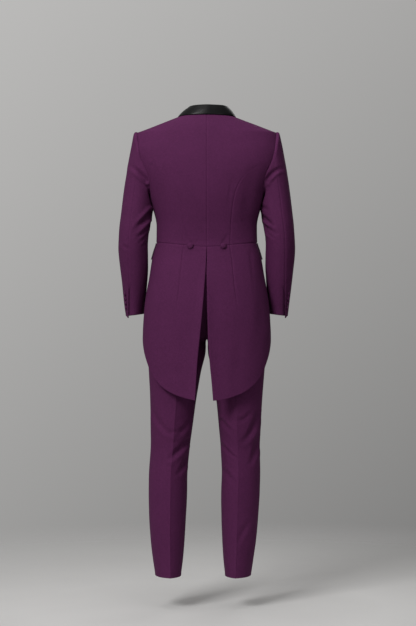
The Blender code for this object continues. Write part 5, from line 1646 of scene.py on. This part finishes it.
def make_finishes(colours):
    groups = twill_group(), tone_group()
    wool = cloth_finish(
        "Aubergine wool twill",
        groups,
        colours.wool,
        {"Soft variation": 0.18, "Mottle": 0.62, "Roughness": 0.80},
        {"Ribs per metre": 1500.0, "Steepness": 1.0, "Fuzz": 0.6},
        (0.35, 0.00022),
        {
            "Sheen Weight": 0.018,
            "Sheen Roughness": 0.45,
            "Sheen Tint": (0.75, 0.35, 0.65, 1),
            "Specular IOR Level": 0.05,
        },
    )
    lining = cloth_finish(
        "Aubergine lining",
        groups,
        colours.lining,
        {"Soft variation": 0.10, "Mottle": 0.05, "Roughness": 0.42},
        {"Ribs per metre": 2600.0, "Steepness": 0.6, "Fuzz": 0.1},
        (0.20, 0.00008),
        {"Specular IOR Level": 0.45},
    )
    satin = cloth_finish(
        "Black satin",
        groups,
        colours.satin,
        {"Soft variation": 0.20, "Mottle": 0.08, "Roughness": 0.34},
        {"Ribs per metre": 3200.0, "Steepness": 0.15, "Fuzz": 0.12},
        (0.22, 0.00006),
        {"Specular IOR Level": 0.125, "Anisotropic": 0.35},
    )
    thread = thread_finish("Aubergine thread", tuple(c * 1.25 for c in colours.wool))
    silk = thread_finish("Black silk thread", (0.018, 0.018, 0.019))
    return {"wool": wool, "lining": lining, "satin": satin, "thread": thread, "silk": silk}


FINISHES = {}


def finishes_for(scene):
    if not FINISHES:
        FINISHES.update(make_finishes(scene.tailcoat_colours))
    return FINISHES


def stage(values):
    """A pale studio floor that fades into grey, soft lights, and the photograph's camera."""
    scene = bpy.context.scene
    scene.view_settings.view_transform = "Standard"
    rings, around = np.linspace(0, values.floor_radius, 25)[1:], 64
    turns = np.linspace(0, 2 * math.pi, around, endpoint=False)
    points = [(0.0, 0.0, values.floor_height)]
    for radius in rings:
        points += [(radius * math.cos(t), radius * math.sin(t), values.floor_height) for t in turns]
    faces = disc_faces(len(rings), around)
    finish_mesh("studio_floor", points, faces, [floor_finish(values)])
    world = bpy.data.worlds.new("Studio grey")
    scene.world = world
    world.use_nodes = True
    tree = world.node_tree
    shine = tree.nodes["Background"]
    coordinates, split = tree.nodes.new("ShaderNodeTexCoord"), tree.nodes.new("ShaderNodeSeparateXYZ")
    tree.links.new(coordinates.outputs["Generated"], split.inputs[0])
    level = calc(tree, "MULTIPLY_ADD", split.outputs["X"], 0.45, 0.345)
    level = calc(tree, "MULTIPLY_ADD", split.outputs["Z"], 0.55, level)
    level = calc(tree, "MINIMUM", calc(tree, "MAXIMUM", level, 0.17), 0.62)
    tint = tree.nodes.new("ShaderNodeCombineColor")
    for channel, share in zip(("Red", "Green", "Blue"), (1.0, 0.99, 0.975)):
        tree.links.new(calc(tree, "MULTIPLY", level, share), tint.inputs[channel])
    tree.links.new(tint.outputs["Color"], shine.inputs["Color"])
    ray = tree.nodes.new("ShaderNodeLightPath")
    strength = calc(tree, "MULTIPLY_ADD", ray.outputs["Is Camera Ray"], 1 - values.ambient, values.ambient)
    tree.links.new(strength, shine.inputs["Strength"])
    for name, place, aim, size, watts in (
        ("key", (2.3, 3.8, 2.6), (0.0, 0.0, -0.35), 1.8, values.key_watts),
        ("fill", (-2.8, 3.6, 1.1), (0.0, 0.0, -0.5), 2.6, values.fill_watts),
        ("front", (-1.8, -4.2, 1.4), (0.0, 0.0, -0.6), 2.6, values.fill_watts * 1.3),
        ("top", (0.3, 0.6, 2.6), (0.0, 0.0, -0.4), 2.4, values.top_watts),
    ):
        data = bpy.data.lights.new(f"studio_{name}", "AREA")
        data.size, data.energy = size, watts
        light = bpy.data.objects.new(f"studio_{name}", data)
        light.location = place
        light.rotation_euler = (Vector(aim) - Vector(place)).to_track_quat("-Z", "Y").to_euler()
        scene.collection.objects.link(light)
    data = bpy.data.cameras.new("studio_camera")
    data.lens, data.sensor_width, data.sensor_fit = CAMERA_LENS, 36.0, "AUTO"
    camera = bpy.data.objects.new("studio_camera", data)
    camera.location = CAMERA_PLACE
    camera.rotation_euler = (math.radians(90), 0, math.radians(180))
    scene.collection.objects.link(camera)
    scene.camera = camera


def floor_finish(values):
    """Pale studio floor, slightly uneven, clear at its rim so that it has no visible edge."""
    made = bpy.data.materials.new("Pale studio floor")
    made.use_nodes = True
    tree = made.node_tree
    shader = tree.nodes["Principled BSDF"]
    place = tree.nodes.new("ShaderNodeTexCoord")
    cloud = noise(tree, place.outputs["Object"], 2.2, 3.0)
    ramp = tree.nodes.new("ShaderNodeMix")
    ramp.data_type = "RGBA"
    ramp.inputs["A"].default_value = (0.62, 0.613, 0.605, 1)
    ramp.inputs["B"].default_value = (0.70, 0.693, 0.685, 1)
    tree.links.new(cloud, ramp.inputs["Factor"])
    tree.links.new(ramp.outputs["Result"], shader.inputs["Base Color"])
    shader.inputs["Roughness"].default_value = 0.7
    shader.inputs["Specular IOR Level"].default_value = 0.2
    length = tree.nodes.new("ShaderNodeVectorMath")
    length.operation = "LENGTH"
    tree.links.new(place.outputs["Object"], length.inputs[0])
    height = abs(values.floor_height)
    flat = calc(tree, "SUBTRACT", calc(tree, "POWER", length.outputs["Value"], 2.0), height**2)
    flat = calc(tree, "SQRT", flat)
    inner = values.floor_radius * 0.25
    fade = calc(tree, "DIVIDE", calc(tree, "SUBTRACT", flat, inner), values.floor_radius * 0.98 - inner)
    fade = calc(tree, "SMOOTH_MIN", calc(tree, "MAXIMUM", fade, 0.0), 1.0, 0.15)
    solid = calc(tree, "SUBTRACT", 1.0, fade)
    tree.links.new(solid, shader.inputs["Alpha"])
    return made


class TailcoatCloth(bpy.types.PropertyGroup):
    """Thickness and surface of the cloth."""

    coat_wall: bpy.props.FloatProperty(
        name="Coat cloth", description="Thickness of the coat's wool with its lining",
        default=0.0020, min=0.0005, unit="LENGTH"
    )
    trouser_wall: bpy.props.FloatProperty(
        name="Trouser cloth", description="Thickness of the trousers' wool",
        default=0.0016, min=0.0005, unit="LENGTH"
    )
    satin_wall: bpy.props.FloatProperty(
        name="Satin", description="Thickness of the satin on collar and lapels",
        default=0.0020, min=0.0005, unit="LENGTH"
    )
    cell: bpy.props.FloatProperty(
        name="Cell", description="Size of the cells that the cloth is made of",
        default=0.0046, min=0.002, max=0.02, unit="LENGTH"
    )
    seam_depth: bpy.props.FloatProperty(
        name="Seam depth", description="How far the cloth sinks at a sewn seam",
        default=0.0011, min=0.0, unit="LENGTH"
    )
    lapel_gap: bpy.props.FloatProperty(
        name="Lapel stand-off", description="Space between a lapel and its front",
        default=0.0010, min=0.0, unit="LENGTH"
    )
    sleeve_head: bpy.props.FloatProperty(
        name="Sleeve head", description="Rise of the roll beside the armhole seam",
        default=0.0018, min=0.0, unit="LENGTH"
    )
    collar_lean: bpy.props.FloatProperty(
        name="Collar lean", description="How far the collar's fold leans out at the right of the neck",
        default=0.0105, min=0.0, unit="LENGTH"
    )
    cuff_lap: bpy.props.FloatProperty(
        name="Cuff lap",
        description="How far the under sleeve reaches under the top sleeve in the cuff's vent",
        default=0.0075, min=0.0, unit="LENGTH"
    )
    inner_arm: bpy.props.FloatProperty(
        name="Inner arm", description="Fullness of the sleeve where it lies against the side",
        default=0.0058, min=0.0, unit="LENGTH"
    )
    sleeve_creases: bpy.props.FloatProperty(
        name="Sleeve creases", description="Depth of the sleeve creases, as a share of those drawn",
        default=2.4, min=0.0
    )
    leg_creases: bpy.props.FloatProperty(
        name="Leg creases", description="Depth of the trouser creases, as a share of those drawn",
        default=2.1, min=0.0
    )
    vent_flare: bpy.props.FloatProperty(
        name="Vent flare", description="How far the left tail's edge stands out at the vent",
        default=0.0085, min=0.0, unit="LENGTH"
    )
    crease_rise: bpy.props.FloatProperty(
        name="Pressed crease", description="Extra rise of the pressed trouser creases",
        default=0.0015, min=0.0, unit="LENGTH"
    )
    unevenness: bpy.props.FloatProperty(
        name="Unevenness", description="Soft waviness of all the cloth",
        default=0.00075, min=0.0, unit="LENGTH"
    )


class TailcoatColours(bpy.types.PropertyGroup):
    """Colours of the suit's three cloths."""

    wool: bpy.props.FloatVectorProperty(
        name="Wool", description="Colour of the wool",
        default=(0.086, 0.0185, 0.0675), subtype="COLOR", min=0, max=1
    )
    satin: bpy.props.FloatVectorProperty(
        name="Satin", description="Colour of the collar and lapels",
        default=(0.0068, 0.0068, 0.0072), subtype="COLOR", min=0, max=1
    )
    lining: bpy.props.FloatVectorProperty(
        name="Lining", description="Colour of the inside",
        default=(0.030, 0.009, 0.024), subtype="COLOR", min=0, max=1
    )


class TailcoatSewing(bpy.types.PropertyGroup):
    """Size of the edge stitching."""

    spacing: bpy.props.FloatProperty(
        name="Spacing", description="Distance from one edge stitch to the next",
        default=0.0050, min=0.001, unit="LENGTH"
    )
    length: bpy.props.FloatProperty(
        name="Stitch length", description="Length of the thread that shows",
        default=0.0014, min=0.0002, unit="LENGTH"
    )
    thread: bpy.props.FloatProperty(
        name="Thread", description="Thickness of the thread",
        default=0.0004, min=0.0001, unit="LENGTH"
    )


class TailcoatStage(bpy.types.PropertyGroup):
    """Floor and lights of the studio."""

    floor_height: bpy.props.FloatProperty(
        name="Floor", description="Height of the floor that the wearer stands on",
        default=-1.568, unit="LENGTH"
    )
    floor_radius: bpy.props.FloatProperty(
        name="Floor radius", description="Where the floor has faded out",
        default=2.3, min=0.5, unit="LENGTH"
    )
    ambient: bpy.props.FloatProperty(
        name="Ambient", description="Share of the grey surroundings that lights the suit",
        default=0.46, min=0.0, max=1.0
    )
    key_watts: bpy.props.FloatProperty(
        name="Key light", description="Power of the large light behind the wearer's left",
        default=186.0, min=0.0, unit="POWER"
    )
    fill_watts: bpy.props.FloatProperty(
        name="Fill lights", description="Power of the weaker lights",
        default=20.0, min=0.0, unit="POWER"
    )
    top_watts: bpy.props.FloatProperty(
        name="Top light", description="Power of the light overhead",
        default=30.0, min=0.0, unit="POWER"
    )


class TAILCOAT_OT_body(bpy.types.Operator):
    """Make the back, side bodies, fronts and satin lapels."""

    bl_idname = "tailcoat.body"
    bl_label = "Coat Body"

    def execute(self, context):
        finishes = finishes_for(context.scene)
        sizes = context.scene.tailcoat_cloth
        back_panels(sizes, [finishes["wool"], finishes["lining"]])
        front_panels(sizes, [finishes["wool"], finishes["lining"]], finishes["satin"])
        return {"FINISHED"}


class TAILCOAT_OT_tails(bpy.types.Operator):
    """Make the tails, the skirts and the hip flaps."""

    bl_idname = "tailcoat.tails"
    bl_label = "Tails and Skirts"

    def execute(self, context):
        finishes = finishes_for(context.scene)
        tails(context.scene.tailcoat_cloth, [finishes["wool"], finishes["lining"]])
        return {"FINISHED"}


class TAILCOAT_OT_sleeves(bpy.types.Operator):
    """Make the two-piece sleeves."""

    bl_idname = "tailcoat.sleeves"
    bl_label = "Sleeves"

    def execute(self, context):
        finishes = finishes_for(context.scene)
        sleeves(context.scene.tailcoat_cloth, [finishes["wool"], finishes["lining"]])
        return {"FINISHED"}


class TAILCOAT_OT_collar(bpy.types.Operator):
    """Make the satin collar."""

    bl_idname = "tailcoat.collar"
    bl_label = "Collar"

    def execute(self, context):
        collar(context.scene.tailcoat_cloth, finishes_for(context.scene)["satin"])
        return {"FINISHED"}


class TAILCOAT_OT_trousers(bpy.types.Operator):
    """Make the trousers and their waistband."""

    bl_idname = "tailcoat.trousers"
    bl_label = "Trousers"

    def execute(self, context):
        trousers(context.scene.tailcoat_cloth, [finishes_for(context.scene)["wool"]])
        return {"FINISHED"}


class TAILCOAT_OT_buttons(bpy.types.Operator):
    """Make the covered buttons. The body, tails and sleeves come first."""

    bl_idname = "tailcoat.buttons"
    bl_label = "Buttons"

    def execute(self, context):
        buttons([finishes_for(context.scene)["wool"]])
        return {"FINISHED"}


class TAILCOAT_OT_stitching(bpy.types.Operator):
    """Sew the edge stitching, trouser hems, fly and buttonhole."""

    bl_idname = "tailcoat.stitching"
    bl_label = "Stitching"

    def execute(self, context):
        finishes = finishes_for(context.scene)
        stitching(context.scene.tailcoat_sewing, finishes["thread"], finishes["silk"])
        return {"FINISHED"}


class TAILCOAT_OT_stage(bpy.types.Operator):
    """Set up the floor, the lights and the camera."""

    bl_idname = "tailcoat.stage"
    bl_label = "Stage"

    def execute(self, context):
        stage(context.scene.tailcoat_stage)
        return {"FINISHED"}


STEPS = (
    TAILCOAT_OT_stage,
    TAILCOAT_OT_body,
    TAILCOAT_OT_tails,
    TAILCOAT_OT_sleeves,
    TAILCOAT_OT_collar,
    TAILCOAT_OT_trousers,
    TAILCOAT_OT_buttons,
    TAILCOAT_OT_stitching,
)
GROUPS = (
    ("tailcoat_cloth", TailcoatCloth),
    ("tailcoat_colours", TailcoatColours),
    ("tailcoat_sewing", TailcoatSewing),
    ("tailcoat_stage", TailcoatStage),
)


class TAILCOAT_PT_panel(bpy.types.Panel):
    """Sizes, colours and steps of the tailcoat suit."""

    bl_idname = "TAILCOAT_PT_panel"
    bl_label = "Tailcoat Suit"
    bl_space_type = "VIEW_3D"
    bl_region_type = "UI"
    bl_category = "Tailcoat"

    def draw(self, context):
        for name, group in GROUPS:
            box = self.layout.box()
            for label in group.__annotations__:
                box.prop(getattr(context.scene, name), label)
        for step in STEPS:
            self.layout.operator(step.bl_idname)


def register():
    for _, group in GROUPS:
        bpy.utils.register_class(group)
    for step in STEPS:
        bpy.utils.register_class(step)
    bpy.utils.register_class(TAILCOAT_PT_panel)
    for name, group in GROUPS:
        setattr(bpy.types.Scene, name, bpy.props.PointerProperty(type=group))


def unregister():
    for name, _ in GROUPS:
        delattr(bpy.types.Scene, name)
    bpy.utils.unregister_class(TAILCOAT_PT_panel)
    for step in reversed(STEPS):
        bpy.utils.unregister_class(step)
    for _, group in reversed(GROUPS):
        bpy.utils.unregister_class(group)


def main():
    register()
    for step in STEPS:
        area, name = step.bl_idname.split(".")
        getattr(getattr(bpy.ops, area), name)()


if __name__ == "__main__":
    main()
